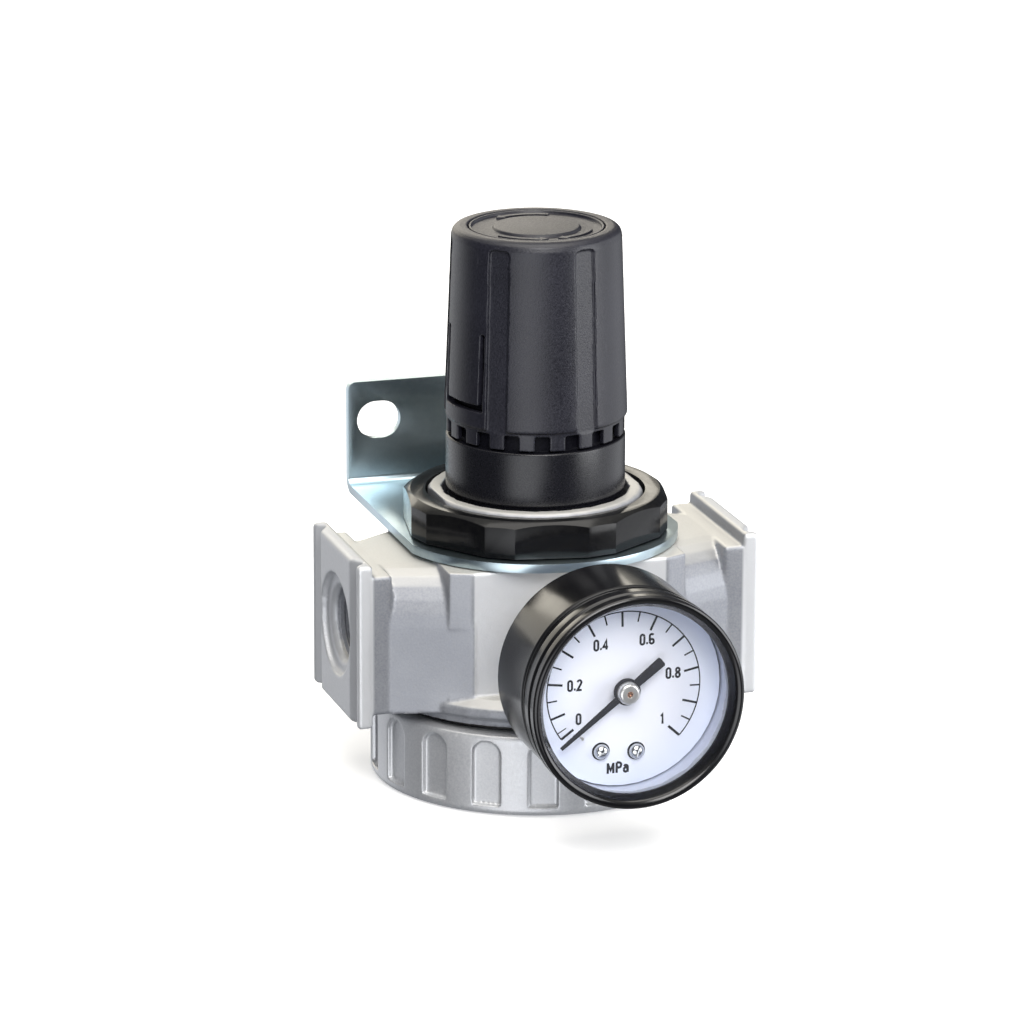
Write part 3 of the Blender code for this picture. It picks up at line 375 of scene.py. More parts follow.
def finish(name, colours, roughness, metallic, patch, grain, bump, depth, shine=0.5, edges=None):
    """A moulded, cast or plated surface: patches and grain between two colours, rough and smooth
    spots between two roughnesses, a fine relief with its depth in millimetres, and an optional
    colour painted on its sharp edges as a painted highlight."""
    made, tree, shader, where = blank(name)
    patches = noise(tree, where, patch, 4.0)
    fine = noise(tree, where, grain, 2.0, 0.6)
    mixed = node(tree, "ShaderNodeMath", operation="MULTIPLY_ADD")
    tree.links.new(patches, mixed.inputs[0])
    mixed.inputs[1].default_value = 0.5
    half = node(tree, "ShaderNodeMath", operation="MULTIPLY")
    tree.links.new(fine, half.inputs[0])
    half.inputs[1].default_value = 0.5
    tree.links.new(half.outputs[0], mixed.inputs[2])
    colour = blended(tree, above(tree, mixed.outputs[0], 0.38, 0.62), *colours)
    if edges is not None:
        # edges: a painted highlight on sharp edges, where pointiness is high
        point = node(tree, "ShaderNodeNewGeometry").outputs["Pointiness"]
        colour = blended(tree, ranged(tree, point, 0.0, 0.6, 0.56, 0.68), colour, edges)
    tree.links.new(colour, shader.inputs["Base Color"])
    tree.links.new(ranged(tree, fine, *roughness), shader.inputs["Roughness"])
    shader.inputs["Metallic"].default_value = metallic
    shader.inputs["Specular IOR Level"].default_value = shine
    bumped(tree, fine, bump, depth * MM, shader)
    return made


PLAIN_FINISHES = {
    "cap_aluminium": dict(
        colours=((0.60, 0.61, 0.63), (0.72, 0.725, 0.735)), roughness=(0.38, 0.52), metallic=0.6,
        # edges: a painted highlight colour on the cap's sharp edges
        patch=40.0, grain=2200.0, bump=0.3, depth=0.06, edges=(0.92, 0.92, 0.92)),
    "knob_plastic": dict(
        colours=((0.007, 0.007, 0.012), (0.017, 0.017, 0.026)), roughness=(0.34, 0.46), metallic=0.0,
        # edges: a painted highlight colour on the knob's sharp edges
        patch=60.0, grain=2600.0, bump=0.5, depth=0.07, edges=(0.04, 0.04, 0.05)),
    "nut_plastic": dict(
        colours=((0.003, 0.003, 0.004), (0.007, 0.007, 0.007)), roughness=(0.14, 0.20), metallic=0.0,
        patch=60.0, grain=900.0, bump=0.06, depth=0.02, shine=0.3),
    "ink": dict(
        colours=((0.003, 0.003, 0.007), (0.006, 0.006, 0.012)), roughness=(0.5, 0.6), metallic=0.0,
        patch=300.0, grain=3000.0, bump=0.05, depth=0.01, shine=0.03),
    "nickel": dict(
        colours=((0.68, 0.67, 0.65), (0.72, 0.71, 0.69)), roughness=(0.28, 0.32), metallic=0.8,
        patch=60.0, grain=400.0, bump=0.02, depth=0.01),
    "copper": dict(
        colours=((0.50, 0.22, 0.12), (0.66, 0.34, 0.2)), roughness=(0.2, 0.35), metallic=1.0,
        patch=300.0, grain=2500.0, bump=0.1, depth=0.02),
    "chrome": dict(
        colours=((0.58, 0.59, 0.61), (0.66, 0.67, 0.68)), roughness=(0.12, 0.15), metallic=1.0,
        patch=60.0, grain=400.0, bump=0.02, depth=0.01),
    "zinc_steel": dict(
        colours=((0.50, 0.51, 0.52), (0.66, 0.67, 0.66)), roughness=(0.26, 0.36), metallic=1.0,
        patch=150.0, grain=2500.0, bump=0.04, depth=0.02),
    "brass": dict(
        colours=((0.62, 0.46, 0.20), (0.76, 0.60, 0.30)), roughness=(0.24, 0.34), metallic=1.0,
        patch=150.0, grain=2500.0, bump=0.04, depth=0.02),
    "rubber": dict(
        colours=((0.015, 0.015, 0.015), (0.03, 0.03, 0.03)), roughness=(0.6, 0.8), metallic=0.0,
        patch=100.0, grain=2500.0, bump=0.3, depth=0.05),
    "resin": dict(
        colours=((0.80, 0.79, 0.73), (0.88, 0.87, 0.82)), roughness=(0.4, 0.5), metallic=0.0,
        patch=100.0, grain=2500.0, bump=0.15, depth=0.04),
    "silicone": dict(
        colours=((0.42, 0.46, 0.58), (0.54, 0.58, 0.70)), roughness=(0.2, 0.3), metallic=0.0,
        patch=200.0, grain=2500.0, bump=0.1, depth=0.02),
}


def cast_metal():
    """An as-cast skin with painted light: upper faces paler as painted light from above; flange rims, gauge
    bosses and flange lips brighter as machined faces and partly as painted light; painted highlights on its
    edges.
    """
    made = finish("cast_aluminium", colours=((0.265, 0.275, 0.305), (0.36, 0.37, 0.395)),
                  roughness=(0.42, 0.58), metallic=0.5, patch=40.0, grain=2200.0, bump=0.4, depth=0.07,
                  # edges: a painted highlight on the casting's sharp edges
                  edges=(0.88, 0.89, 0.90))
    tree = made.node_tree
    base = tree.nodes["Principled BSDF"].inputs["Base Color"]
    skin = base.links[0].from_socket
    x, y, z = axes(tree, spots_of(tree))
    across, deep = sized(tree, x), sized(tree, y)
    # gauge bosses: painted brighter as machined faces, and partly as painted light
    boss = combined(tree, "MULTIPLY", above(tree, deep, 22.4 * MM, 22.8 * MM),
                    below(tree, across, 19.4 * MM, 19.8 * MM))
    boss = combined(tree, "MULTIPLY", boss, above(tree, z, 22.9 * MM, 23.3 * MM))
    # flange lips: painted brighter as machined faces, and partly as painted light
    machined_and_lit_lip = combined(tree, "MULTIPLY", above(tree, across, 37.7 * MM, 38.2 * MM),
                   above(tree, deep, 15.9 * MM, 16.4 * MM))
    # painted light from above: faces that look upwards are painted a paler, warmer colour
    upright = axes(tree, node(tree, "ShaderNodeNewGeometry").outputs["Normal"])[2]
    skin = blended(tree, above(tree, upright, 0.6, 0.95), skin, (0.62, 0.61, 0.58))
    # flange rims: painted paler as machined faces, and partly as painted light
    rim = blended(tree, above(tree, across, 38.6 * MM, 39.2 * MM), skin, (0.55, 0.56, 0.58))
    bright = combined(tree, "MAXIMUM", boss, machined_and_lit_lip)
    tree.links.new(blended(tree, bright, rim, (0.72, 0.73, 0.745)), base)
    return made


def collar_moulding():
    """Semi-gloss black. The tube inside the knob has its reflection turned down, as painted shade in that
    recess.
    """
    made = finish("collar_plastic", colours=((0.004, 0.004, 0.006), (0.009, 0.009, 0.013)),
                  roughness=(0.24, 0.34), metallic=0.0, patch=60.0, grain=2600.0, bump=0.25, depth=0.04)
    tree = made.node_tree
    height = axes(tree, spots_of(tree))[2]
    # painted shade: the tube above 69 mm, in the recess under the knob, loses its reflection
    shine = ranged(tree, height, 0.45, 0.03, 69.0 * MM, 69.25 * MM)
    tree.links.new(shine, tree.nodes["Principled BSDF"].inputs["Specular IOR Level"])
    return made


def zinc_plate():
    """Bluish passivated zinc over rolled steel."""
    made, tree, shader, where = blank("bracket_zinc_plate")
    cloud = noise(tree, where, 45.0, 3.0, 0.5)
    spangle = noise(tree, where, 900.0, 3.0, 0.7)
    stretched = node(tree, "ShaderNodeMapping")
    stretched.inputs["Scale"].default_value = (1.0, 14.0, 14.0)
    tree.links.new(where, stretched.inputs["Vector"])
    rolled = noise(tree, stretched.outputs["Vector"], 120.0, 3.0, 0.6)
    blue = blended(tree, above(tree, cloud, 0.35, 0.65), (0.34, 0.44, 0.50), (0.50, 0.60, 0.64))
    colour = blended(tree, ranged(tree, spangle, 0.0, 0.25), blue, (0.60, 0.70, 0.72))
    tree.links.new(colour, shader.inputs["Base Color"])
    shader.inputs["Metallic"].default_value = 1.0
    tree.links.new(ranged(tree, rolled, 0.28, 0.295), shader.inputs["Roughness"])
    bumped(tree, cloud, 0.1, 0.02 * MM, shader)
    return made


def dial_enamel():
    """White enamel, painted bluer and a little darker towards the rim as a painted reflection of the glass.
    """
    made, tree, shader, where = blank("dial_enamel")
    length = node(tree, "ShaderNodeVectorMath", operation="DISTANCE")
    tree.links.new(where, length.inputs[0])
    length.inputs[1].default_value = (0.0, -55.5 * MM, AXIS_Z)
    # painted reflection of the glass: the colour turns bluer and darker towards the rim
    rim = above(tree, length.outputs["Value"], 10.0 * MM, 19.3 * MM)
    colour = blended(tree, rim, (0.86, 0.88, 0.97), (0.76, 0.82, 0.97))
    speck = noise(tree, where, 3000.0, 2.0)
    speckled = blended(tree, ranged(tree, speck, 0.0, 0.05), colour, (0.6, 0.64, 0.72))
    tree.links.new(speckled, shader.inputs["Base Color"])
    tree.links.new(ranged(tree, speck, 0.32, 0.42), shader.inputs["Roughness"])
    bumped(tree, speck, 0.05, 0.02 * MM, shader)
    return made


def gauge_enamel():
    """Gloss black enamel on the side and the ring. The inside of the cup is painted pale, as a painted
    reflection of the dial on its wall, and its back is bright as well.
    """
    made, tree, shader, where = blank("gauge_enamel")
    depth = axes(tree, where)[1]
    flat = node(tree, "ShaderNodeVectorMath", operation="MULTIPLY")
    tree.links.new(where, flat.inputs[0])
    flat.inputs[1].default_value = (1.0, 0.0, 1.0)
    off = node(tree, "ShaderNodeVectorMath", operation="DISTANCE")
    tree.links.new(flat.outputs["Vector"], off.inputs[0])
    off.inputs[1].default_value = GAUGE_AXIS
    near = below(tree, off.outputs["Value"], 19.85 * MM, 19.95 * MM)
    # inside: the cup's inner wall painted pale, a painted reflection of the dial; the mask takes in the cup's
    # back too
    inside = combined(tree, "MULTIPLY", near, above(tree, depth, -61.0 * MM, -60.6 * MM))
    cloud = noise(tree, where, 90.0, 3.0)
    orange_peel = noise(tree, where, 500.0, 2.0)
    black = blended(tree, ranged(tree, cloud, 0.0, 1.0), (0.004, 0.004, 0.005), (0.009, 0.009, 0.010))
    tree.links.new(blended(tree, inside, black, (0.50, 0.54, 0.66)), shader.inputs["Base Color"])
    tree.links.new(ranged(tree, cloud, 0.14, 0.22), shader.inputs["Roughness"])
    bumped(tree, orange_peel, 0.06, 0.05 * MM, shader)
    return made


def lens_clear():
    made, tree, shader, where = blank("lens_clear")
    haze = noise(tree, where, 200.0, 2.0)
    tree.links.new(ranged(tree, haze, 0.01, 0.04), shader.inputs["Roughness"])
    shader.inputs["Base Color"].default_value = (0.9, 0.94, 1.0, 1.0)
    shader.inputs["Alpha"].default_value = 0.03
    shader.inputs["IOR"].default_value = 1.49
    return made


# ---------------------------------------------------------------- pieces

def dressed(item, material, body, slot, *stands_for):
    """Gives a new piece its material and its body, and hides the CAD nodes it stands for. The slot is not
    used.
    """
    settled(item)
    item.data.materials.clear()
    item.data.materials.append(material)
    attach(item, body)
    if stands_for:
        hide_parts(*stands_for)
    return item


def cast_body(material):
    """The casting with soft edges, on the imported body's own shape. The bosses' faces are ground flush."""
    item = linked("body_casting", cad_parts["body"].data.copy())
    wide, half, face, out = 31.8 * MM, 19.6 * MM, 23.0 * MM, 36.0 * MM
    foot, shoulder, boss_foot, high = 22.95 * MM, 36.6 * MM, 36.5 * MM, 60 * MM
    lean = [(half, face + 0.24 * MM), (wide, face - 5.34 * MM)]
    arms = [(-x, y) for x, y in reversed(lean)] + [(-half, face), (half, face)]
    arms += lean + [(wide, out), (-wide, out)]
    boss = box(-half, face, half, out)
    for name, outline, start, end in (("arms", arms, foot, shoulder), ("boss", boss, boss_foot, high)):
        for side in (-1, 1):
            boolean(item, slab(name, [[(x, side * y) for x, y in outline]], start, end))
    return dressed(melted(item, 0.36 * MM, 3), material, "housing", "body_cast", "body")


def port_threads(material):
    """The pipe threads in the two port bores."""
    pitch, outer, inner = 1.34 * MM, 7.08 * MM, 6.35 * MM
    start, count = 26.2 * MM, 9
    root = outer - 0.05 * MM
    profile = [(outer, start + count * pitch), (outer, start)]
    for i in range(count):
        foot = start + i * pitch
        profile += [(root, foot + 0.1 * pitch), (inner, foot + 0.42 * pitch),
                    (inner, foot + 0.58 * pitch), (root, foot + 0.9 * pitch)]
    for name, turn in (("inlet_thread", TO_INLET), ("outlet_thread", TO_OUTLET)):
        dressed(lathe(name, profile, 96, turn, GAUGE_AXIS), material, "housing", "body_cast")


def gripped_cap(material):
    """The bottom cap with its eighteen arch-topped grips."""
    grips, phase = 18, -14.4
    top, radius, bore, floor = 16.6 * MM, 32.7 * MM, 28.4 * MM, 4.0 * MM
    profile = [(0.0, floor), (bore, floor), (bore, top), (radius - 1.4 * MM, top),
               (radius - 0.2 * MM, top - 0.5 * MM), (radius, top - 1.3 * MM), (radius, 0.9 * MM),
               (radius - 0.5 * MM, 0.15 * MM), (radius - 1.2 * MM, 0.0), (0.0, 0.0)]
    item = lathe("bottom_cap_casting", profile, 360)
    half, low, high = 2.9 * MM, 1.9 * MM, 15.0 * MM
    outline = [(-half, low), (half, low)] + arc(half, 0.0, 180.0, 16, (0.0, high - half))
    inner, outer = radius - 1.15 * MM, radius + 2 * MM
    turns = [facing(phase + 360.0 * i / grips) for i in range(grips)]
    boolean(item, merged("grips", [slab("grip", [outline], inner, outer, turn) for turn in turns]))
    return dressed(melted(item, 0.26 * MM, 2), material, "housing", "cap_cast", "bottom_cap")


def collar(material):
    """The bonnet: a thin tube inside the knob, and the collar below it."""
    profile = mm([(4.4, 92), (16, 92, 1), (16, 69.2, 0.2), (17.73, 69.2, 0.5), (17.73, 58.5, 0.4),
                  (17.2, 58.0), (17.2, 55.5), (18.3, 55.5), (18.3, 47.4), (16.2, 47.4),
                  (16.2, 50.5), (14.6, 52), (14.6, 88.5), (4.4, 88.5)])
    item = lathe("bonnet_moulding", rounded(profile, 0.15 * MM))
    return dressed(item, material, "housing", "bonnet_plastic", "bonnet")


def knob_shell(ledge):
    """The knob without its panels, teeth and tongues. Its skirt starts below the ledge."""
    top, low, bore = 110.8 * MM, 69.6 * MM, 16.35 * MM
    seat, roof = 109.2 * MM, 107.0 * MM
    profile = [(0.0, seat), (13.5 * MM, seat), (13.5 * MM, top), (15.1 * MM, top),
               (15.9 * MM, top - 0.25 * MM), (16.45 * MM, top - 0.8 * MM),
               (16.76 * MM, top - 1.8 * MM), (18.1 * MM, ledge + 0.5 * MM), (18.0 * MM, ledge),
               (17.55 * MM, ledge - 0.1 * MM), (17.55 * MM, low), (bore, low), (bore, 94.5 * MM),
               (14.8 * MM, 97.0 * MM), (14.8 * MM, roof), (6.5 * MM, roof),
               (6.5 * MM, 93.6 * MM), (0.0, 93.6 * MM)]
    return lathe("knob_moulding", profile, 240)


def knob_strip(length):
    """The outline of the sunken strip between two panels, with rounded upper corners."""
    half, foot, corner = 2.2 * MM, -0.6 * MM, length - 1.2 * MM
    strip = [(-half, foot), (half, foot)] + arc(MM, 0.0, 90.0, 6, (half - MM, corner))
    return strip + arc(MM, 90.0, 180.0, 6, (MM - half, corner))


def tongue_slit():
    """The outline of the slit round three sides of a snap tongue."""
    wide, slit, low, floor, high = 6.1 * MM, 1.0 * MM, 76.5 * MM, 77.9 * MM, 92.0 * MM
    return [(-wide, low), (wide, low), (wide, high), (wide - slit, high), (wide - slit, floor),
            (slit - wide, floor), (slit - wide, high), (-wide, high)]


def moulded_knob(material):
    """The knob: six panels between sunken strips, locking teeth at its foot and two snap tongues."""
    panels, teeth, phase = 6, 18, -13.4
    panel_step, tooth_step = 360.0 / panels, 360.0 / teeth
    ledge, strip_top = 73.3 * MM, 109.2 * MM
    lean = Matrix.Rotation(-math.atan2(1.34, 37.0), 4, "X")
    item = knob_shell(ledge)
    foot = Matrix.Translation((0.0, ledge, 17.42 * MM))
    strip = knob_strip(strip_top - ledge)
    turns = [facing(phase + panel_step / 2 + panel_step * i) @ foot @ lean for i in range(panels)]
    boolean(item, merged("strips", [slab("strip", [strip], 0.0, 3 * MM, turn) for turn in turns]))
    gap = box(-1.48 * MM, 68 * MM, 1.48 * MM, 72.5 * MM)
    turns = [facing(phase + tooth_step * i) for i in range(teeth)]
    boolean(item, merged("gaps", [slab("gap", [gap], 15 * MM, 20 * MM, turn) for turn in turns]))
    turns = [facing(phase - 60.0), facing(phase + 120.0)]
    sides = [slab("slit", [tongue_slit()], 11 * MM, 20 * MM, turn) for turn in turns]
    boolean(item, merged("slits", sides))
    boolean(item, slab("drive", [hexagon(7.8 * MM)], 92 * MM, 106.6 * MM))
    return dressed(melted(item, 0.21 * MM, 1), material, "knob", "knob_plastic", "knob")


def turn_arrow(start, end, low, high):
    """A curved arrow between two angles."""
    inner, outer, middle, barb = 10.2 * MM, 11.2 * MM, 10.7 * MM, 0.7 * MM
    step = math.copysign(9.0, end - start)
    outline = arc(outer, start, end - step, 16)
    outline += [polar(outer + barb, end - step), polar(middle, end), polar(inner - barb, end - step)]
    outline += arc(inner, end - step, start, 16)
    return slab("arrow", [outline], low, high)


def knob_disc(material):
    """The insert in the knob's top: a raised disc, and a sunken ring with three plain arrows in it."""
    floor, top, ring = 109.5 * MM, 110.7 * MM, 110.2 * MM
    profile = [(0.0, top), (8.4 * MM, top, 0.3 * MM), (8.7 * MM, ring, 0.1 * MM),
               (12.6 * MM, ring, 0.1 * MM), (12.75 * MM, top, 0.15 * MM),
               (13.25 * MM, top, 0.15 * MM), (13.25 * MM, floor), (0.0, floor)]
    pieces = [lathe("disc", rounded(profile, 0.1 * MM), 128)]
    for start, end in ((-150.0, -95.0), (-30.0, -85.0), (60.0, 120.0)):
        arrow = turn_arrow(start, end, ring - 0.1 * MM, top - 0.15 * MM)
        pieces.append(bevelled(arrow, 0.06 * MM, 1))
    item = smooth(merged("knob_disc", pieces))
    return dressed(item, material, "knob", "knob_plastic", "knob_cap")


def octagon_nut(material):
    """The panel nut: eight broad flats, with a narrow facet across each corner."""
    sides, flat, facet, phase = 8, 25.4 * MM, 6.6, -10.3
    step = 360.0 / sides
    corner = flat / math.cos(math.radians(step / 2 - facet))
    outline = []
    for i in range(sides):
        middle = phase - 90.0 + step * i
        outline += [polar(corner, middle - step / 2 + facet), polar(corner, middle + step / 2 - facet)]
    outlines = [outline, circle(NECK_HOLE, 144)]
    item = slab("panel_nut_moulding", outlines, 50.35 * MM, 57.6 * MM)
    cone = mm([(30, 59), (30, 56.0), (27.0, 56.0), (24.7, 57.61), (24.7, 59)])
    boolean(item, lathe("cone", cone, 144))
    return dressed(bevelled(item, 0.22 * MM, 2, 14.0), material, "housing", "nut_plastic", "panel_nut")


def bracket_section():
    """The bracket's L section in (y, z)."""
    thick, low, front, back, outer = 1.75 * MM, 48.3 * MM, -30 * MM, 40.3 * MM, 3.2 * MM
    inner = outer - thick
    centre = (back - outer, low + outer)
    bend_out, bend_in = arc(outer, -90.0, 0.0, 16, centre), arc(inner, 0.0, -90.0, 16, centre)
    upright = [(back, BRACKET_TOP), (back - thick, BRACKET_TOP)]
    return [(front, low)] + bend_out + upright + bend_in + [(front, low + thick)]


def bracket_plan(wide):
    """The bracket's outline from above: a round nose in front, and room behind for the upright."""
    nose_radius, beyond, behind = 28.3 * MM, wide + MM, 50 * MM
    meet = math.degrees(math.asin(wide / nose_radius))
    nose = arc(nose_radius, -90.0 - meet, -90.0 + meet, 96)
    return nose + [(beyond, nose[-1][1]), (beyond, behind), (-wide - MM, behind), (-wide - MM, nose[0][1])]


def bent_bracket(material):
    """The angle bracket, with rounded edges."""
    wide, round_corner = 27.4 * MM, 1.6 * MM
    item = settled(slab("bracket_pressing", [bracket_section()], -wide, wide, FROM_YZ))
    boolean(item, slab("plan", [bracket_plan(wide)], 40 * MM, 80 * MM), "INTERSECT")
    hole = [(0.0, 55 * MM), (NECK_HOLE, 55 * MM), (NECK_HOLE, 40 * MM), (0.0, 40 * MM)]
    boolean(item, lathe("hole", hole, 144))
    flat, round_end, height = 0.675 * MM, 3.875 * MM, 63.1 * MM
    for side in (-1, 1):
        middle = side * 21 * MM
        right = arc(round_end, -90.0, 90.0, 24, (middle + flat, height))
        left = arc(round_end, 90.0, 270.0, 24, (middle - flat, height))
        boolean(item, slab("oblong", [right + left], -50 * MM, -30 * MM, TO_FRONT))
        inner, outer = side * (wide - round_corner), side * (wide + MM)
        low, high = BRACKET_TOP - round_corner, BRACKET_TOP + MM
        corner = arc(round_corner, 0.0 if side > 0 else 180.0, 90.0, 8, (inner, low))
        corner += [(inner, high), (outer, high), (outer, low)]
        boolean(item, slab("corner", [corner], -50 * MM, -30 * MM, TO_FRONT))
    return dressed(bevelled(item, 0.3 * MM, 3, 40.0), material, "housing", "bracket_zinc", "bracket")


def gauge_shells(material):
    """The gauge's cup and the stepped ring round its window."""
    cup = mm([(5.9, 42.3), (19.6, 42.3, 0.4), (19.6, 60.2), (20.05, 60.2), (20.05, 57.0), (20.5, 56.9),
              (20.7, 56.3, 0.2), (20.7, 41.1, 0.9), (5.9, 41.1)])
    ring = mm([(18.44, 62.6, 0.1), (18.44, 63.05, 0.15), (19.5, 64.9, 0.6), (20.3, 65.3, 0.4),
               (21.0, 64.9, 0.6), (21.0, 62.9, 0.25), (20.55, 62.5, 0.2), (20.55, 62.1, 0.2),
               (21.0, 61.7, 0.25), (21.0, 59.4, 0.4), (20.6, 58.9), (20.35, 58.9), (20.35, 62.6)])
    for name, outline, stands_for in (("gauge_cup", cup, "gauge_case"), ("gauge_ring", ring, "gauge_bezel")):
        item = lathe(name, rounded(outline, 0.1 * MM, 6), 256, TO_FRONT, GAUGE_AXIS)
        dressed(item, material, "housing", "gauge_black", stands_for)


def scale_angle(value):
    """The angle on the dial of a pressure, anticlockwise from +X. The scale is shorter below 0.1."""
    if value < 0.1:
        return 216.0 - 173.0 * value
    return 198.7 - 268.0 * (value - 0.1)


def tick(value, inner, outer, width):
    x_axis = Matrix.Rotation(math.radians(scale_angle(value)), 4, "Z")
    outline = box(inner, -width / 2, outer, width / 2)
    return slab("tick", [outline], INK_LOW, INK_HIGH, TO_FRONT @ x_axis, GAUGE_AXIS)


def ribbon(points, width):
    """The outline of a line of even width along a route, with mitred corners."""
    left, right = [], []
    for i, here in enumerate(points):
        here = Vector(here)
        before = (here - Vector(points[i - 1])).normalized() if i else None
        after = (Vector(points[i + 1]) - here).normalized() if i + 1 < len(points) else before
        before = before or after
        along = (before + after).normalized()
        side = Vector((-along.y, along.x)) * width / 2 / max(along.dot(after), 0.5)
        left.append(tuple(here + side))
        right.append(tuple(here - side))
    return left + right[::-1]


def strokes(letter):
    """The routes that draw a figure one unit high, and its width."""
    bowl = arc(0.23, 178.0, -178.0, 24, (0.0, 0.25))
    zero = arc(0.22, 0.0, 180.0, 12, (0.0, 0.78)) + arc(0.22, 180.0, 358.0, 12, (0.0, 0.22)) + [(0.22, 0.77)]
    six = arc(0.23, 35.0, 180.0, 12, (0.0, 0.76)) + [(-0.23, 0.25)]
    loop_of_p = [(-0.22, 1.0)] + arc(0.24, 90.0, -90.0, 10, (0.02, 0.74)) + [(-0.22, 0.5)]
    stem_of_a = [(0.21, 0.0), (0.21, 0.5)] + arc(0.2, 20.0, 150.0, 8, (0.01, 0.48))
    drawn = {
        "0": ([zero], 0.72),
        "1": ([[(-0.13, 0.80), (0.05, 1.0), (0.05, 0.0)]], 0.5),
        "2": ([arc(0.22, 170.0, -30.0, 14, (0.0, 0.78)) + [(-0.23, 0.0), (0.26, 0.0)]], 0.72),
        "4": ([[(0.1, 0.0), (0.1, 1.0), (-0.27, 0.28), (0.27, 0.28)]], 0.72),
        "6": ([bowl, six], 0.72),
        "8": ([bowl, arc(0.20, 178.0, -178.0, 24, (0.0, 0.76))], 0.72),
        ".": ([[(-0.1, 0.1), (0.1, 0.1)]], 0.36),
        "M": ([[(-0.3, 0.0), (-0.3, 1.0)], [(-0.3, 0.95), (0.0, 0.3), (0.3, 0.95)],
               [(0.3, 1.0), (0.3, 0.0)]], 0.95),
        "P": ([[(-0.22, 0.0), (-0.22, 1.0)], loop_of_p], 0.8),
        "a": ([arc(0.2, 178.0, -178.0, 20, (0.0, 0.25)), stem_of_a], 0.7),
    }
    return drawn[letter]


def figure(words, x, z, height, thick):
    """A word of line figures, centred on a point of the dial."""
    pieces = []
    ahead = -sum(strokes(letter)[1] for letter in words) / 2
    for letter in words:
        routes, wide = strokes(letter)
        ahead += wide / 2
        for route in routes:
            placed = [(x + (ahead + u) * FIGURE_WIDTH * height, z + (v - 0.5) * height) for u, v in route]
            outline = ribbon(placed, thick)
            pieces.append(slab("stroke", [outline], INK_LOW, INK_HIGH, TO_FRONT, GAUGE_AXIS))
        ahead += wide / 2
    return pieces


def dial_screw_place(side):
    """Where a dial screw stands. The dial sits a little clockwise of upright."""
    across, up = Matrix.Rotation(math.radians(DIAL_TURN), 2) @ Vector((side * 3.55 * MM, -12.4 * MM))
    return across, 0.0, AXIS_Z + up


def dial_print(material):
    """The scale, its figures and its unit, as a thin layer of ink, and a dark ring round each dial screw as
    painted shade.
    """
    line = 15.3 * MM
    ends = (scale_angle(1.0), scale_angle(0.0))
    band = arc(line + 0.12 * MM, *ends, 120) + arc(line - 0.12 * MM, *reversed(ends), 120)
    pieces = [slab("line", [band], INK_LOW, INK_HIGH, TO_FRONT, GAUGE_AXIS)]
    for i in range(11):
        width = (0.50 if i in (0, 10) else 0.44) * MM
        pieces.append(tick(i / 10, line - 3.0 * MM, line, width))
    for i in range(1, 10):
        pieces.append(tick(0.05 + i / 10, line - 2.0 * MM, line, 0.3 * MM))
    pieces.append(tick(0.03, line - 2.0 * MM, line, 0.2 * MM))
    numbers = (("0", -8.95, -5.25), ("0.2", -9.75, 1.5), ("0.4", -4.6, 9.05), ("0.6", 4.6, 9.4),
               ("0.8", 9.9, 2.25), ("1", 7.8, -6.8))
    for words, x, z in numbers:
        pieces += figure(words, x * MM, z * MM, 1.94 * MM, 0.42 * MM)
    pieces += figure("MPa", -1.05 * MM, -15.7 * MM, 2.1 * MM, 0.46 * MM)
    # dark rings round the dial screws: painted shade in the gap under each head
    outlines = [circle(1.78 * MM, 48), circle(1.2 * MM, 48)]
    for side in (-1, 1):
        pieces.append(slab("ring", outlines, INK_LOW, INK_HIGH, TO_FRONT, dial_screw_place(side)))
    dressed(merged("dial_print", pieces), material, "housing", "pointer_black")


def gauge_pointer(material):
    """The pointer: a tapered arm and a broad tail, on either side of its hub."""
    hub = 2.62 * MM
    arm = mm([(16.6, -0.26), (16.6, 0.26), (2.0, 0.62)]) + arc(hub, 20.0, 160.0, 24)
    tail = mm([(-2.2, 0.75), (-8.7, 0.95), (-8.95, 0.6), (-8.95, -0.6), (-8.7, -0.95), (-2.2, -0.75)])
    tail += arc(hub, 200.0, 340.0, 24)
    outlines = [arm + tail + mm([(2.0, -0.62)]), circle(0.9 * MM, 32)]
    turn = TO_FRONT @ Matrix.Rotation(math.radians(218.2), 4, "Z")
    item = slab("pointer_blade", outlines, 57.3 * MM, 57.9 * MM, turn, GAUGE_AXIS)
    dressed(bevelled(item, 0.08 * MM, 2, 40.0), material, "pointer_set", "pointer_black", "pointer")


def pointer_cap(nickel, copper):
    """The nickel boss on the pointer's hub, with the copper end of the staff in it."""
    cap = mm([(0.0, 59.45), (0.6, 59.45), (0.65, 59.6, 0.05), (1.7, 59.55, 0.5), (2.15, 59.1, 0.4),
              (2.2, 58.0), (0.0, 58.0)])
    item = lathe("pointer_cap", rounded(cap, 0.05 * MM), 96, TO_FRONT, GAUGE_AXIS)
    dressed(item, nickel, "pointer_set", "boss_nickel", "pointer_boss")
    pin = mm([(0.0, 59.45), (0.2, 59.65), (0.45, 59.65), (0.56, 59.5), (0.56, 59.3), (0.0, 59.3)])
    item = lathe("pointer_pin_end", pin, 32, TO_FRONT, GAUGE_AXIS)
    dressed(item, copper, "pointer_set", "brass")


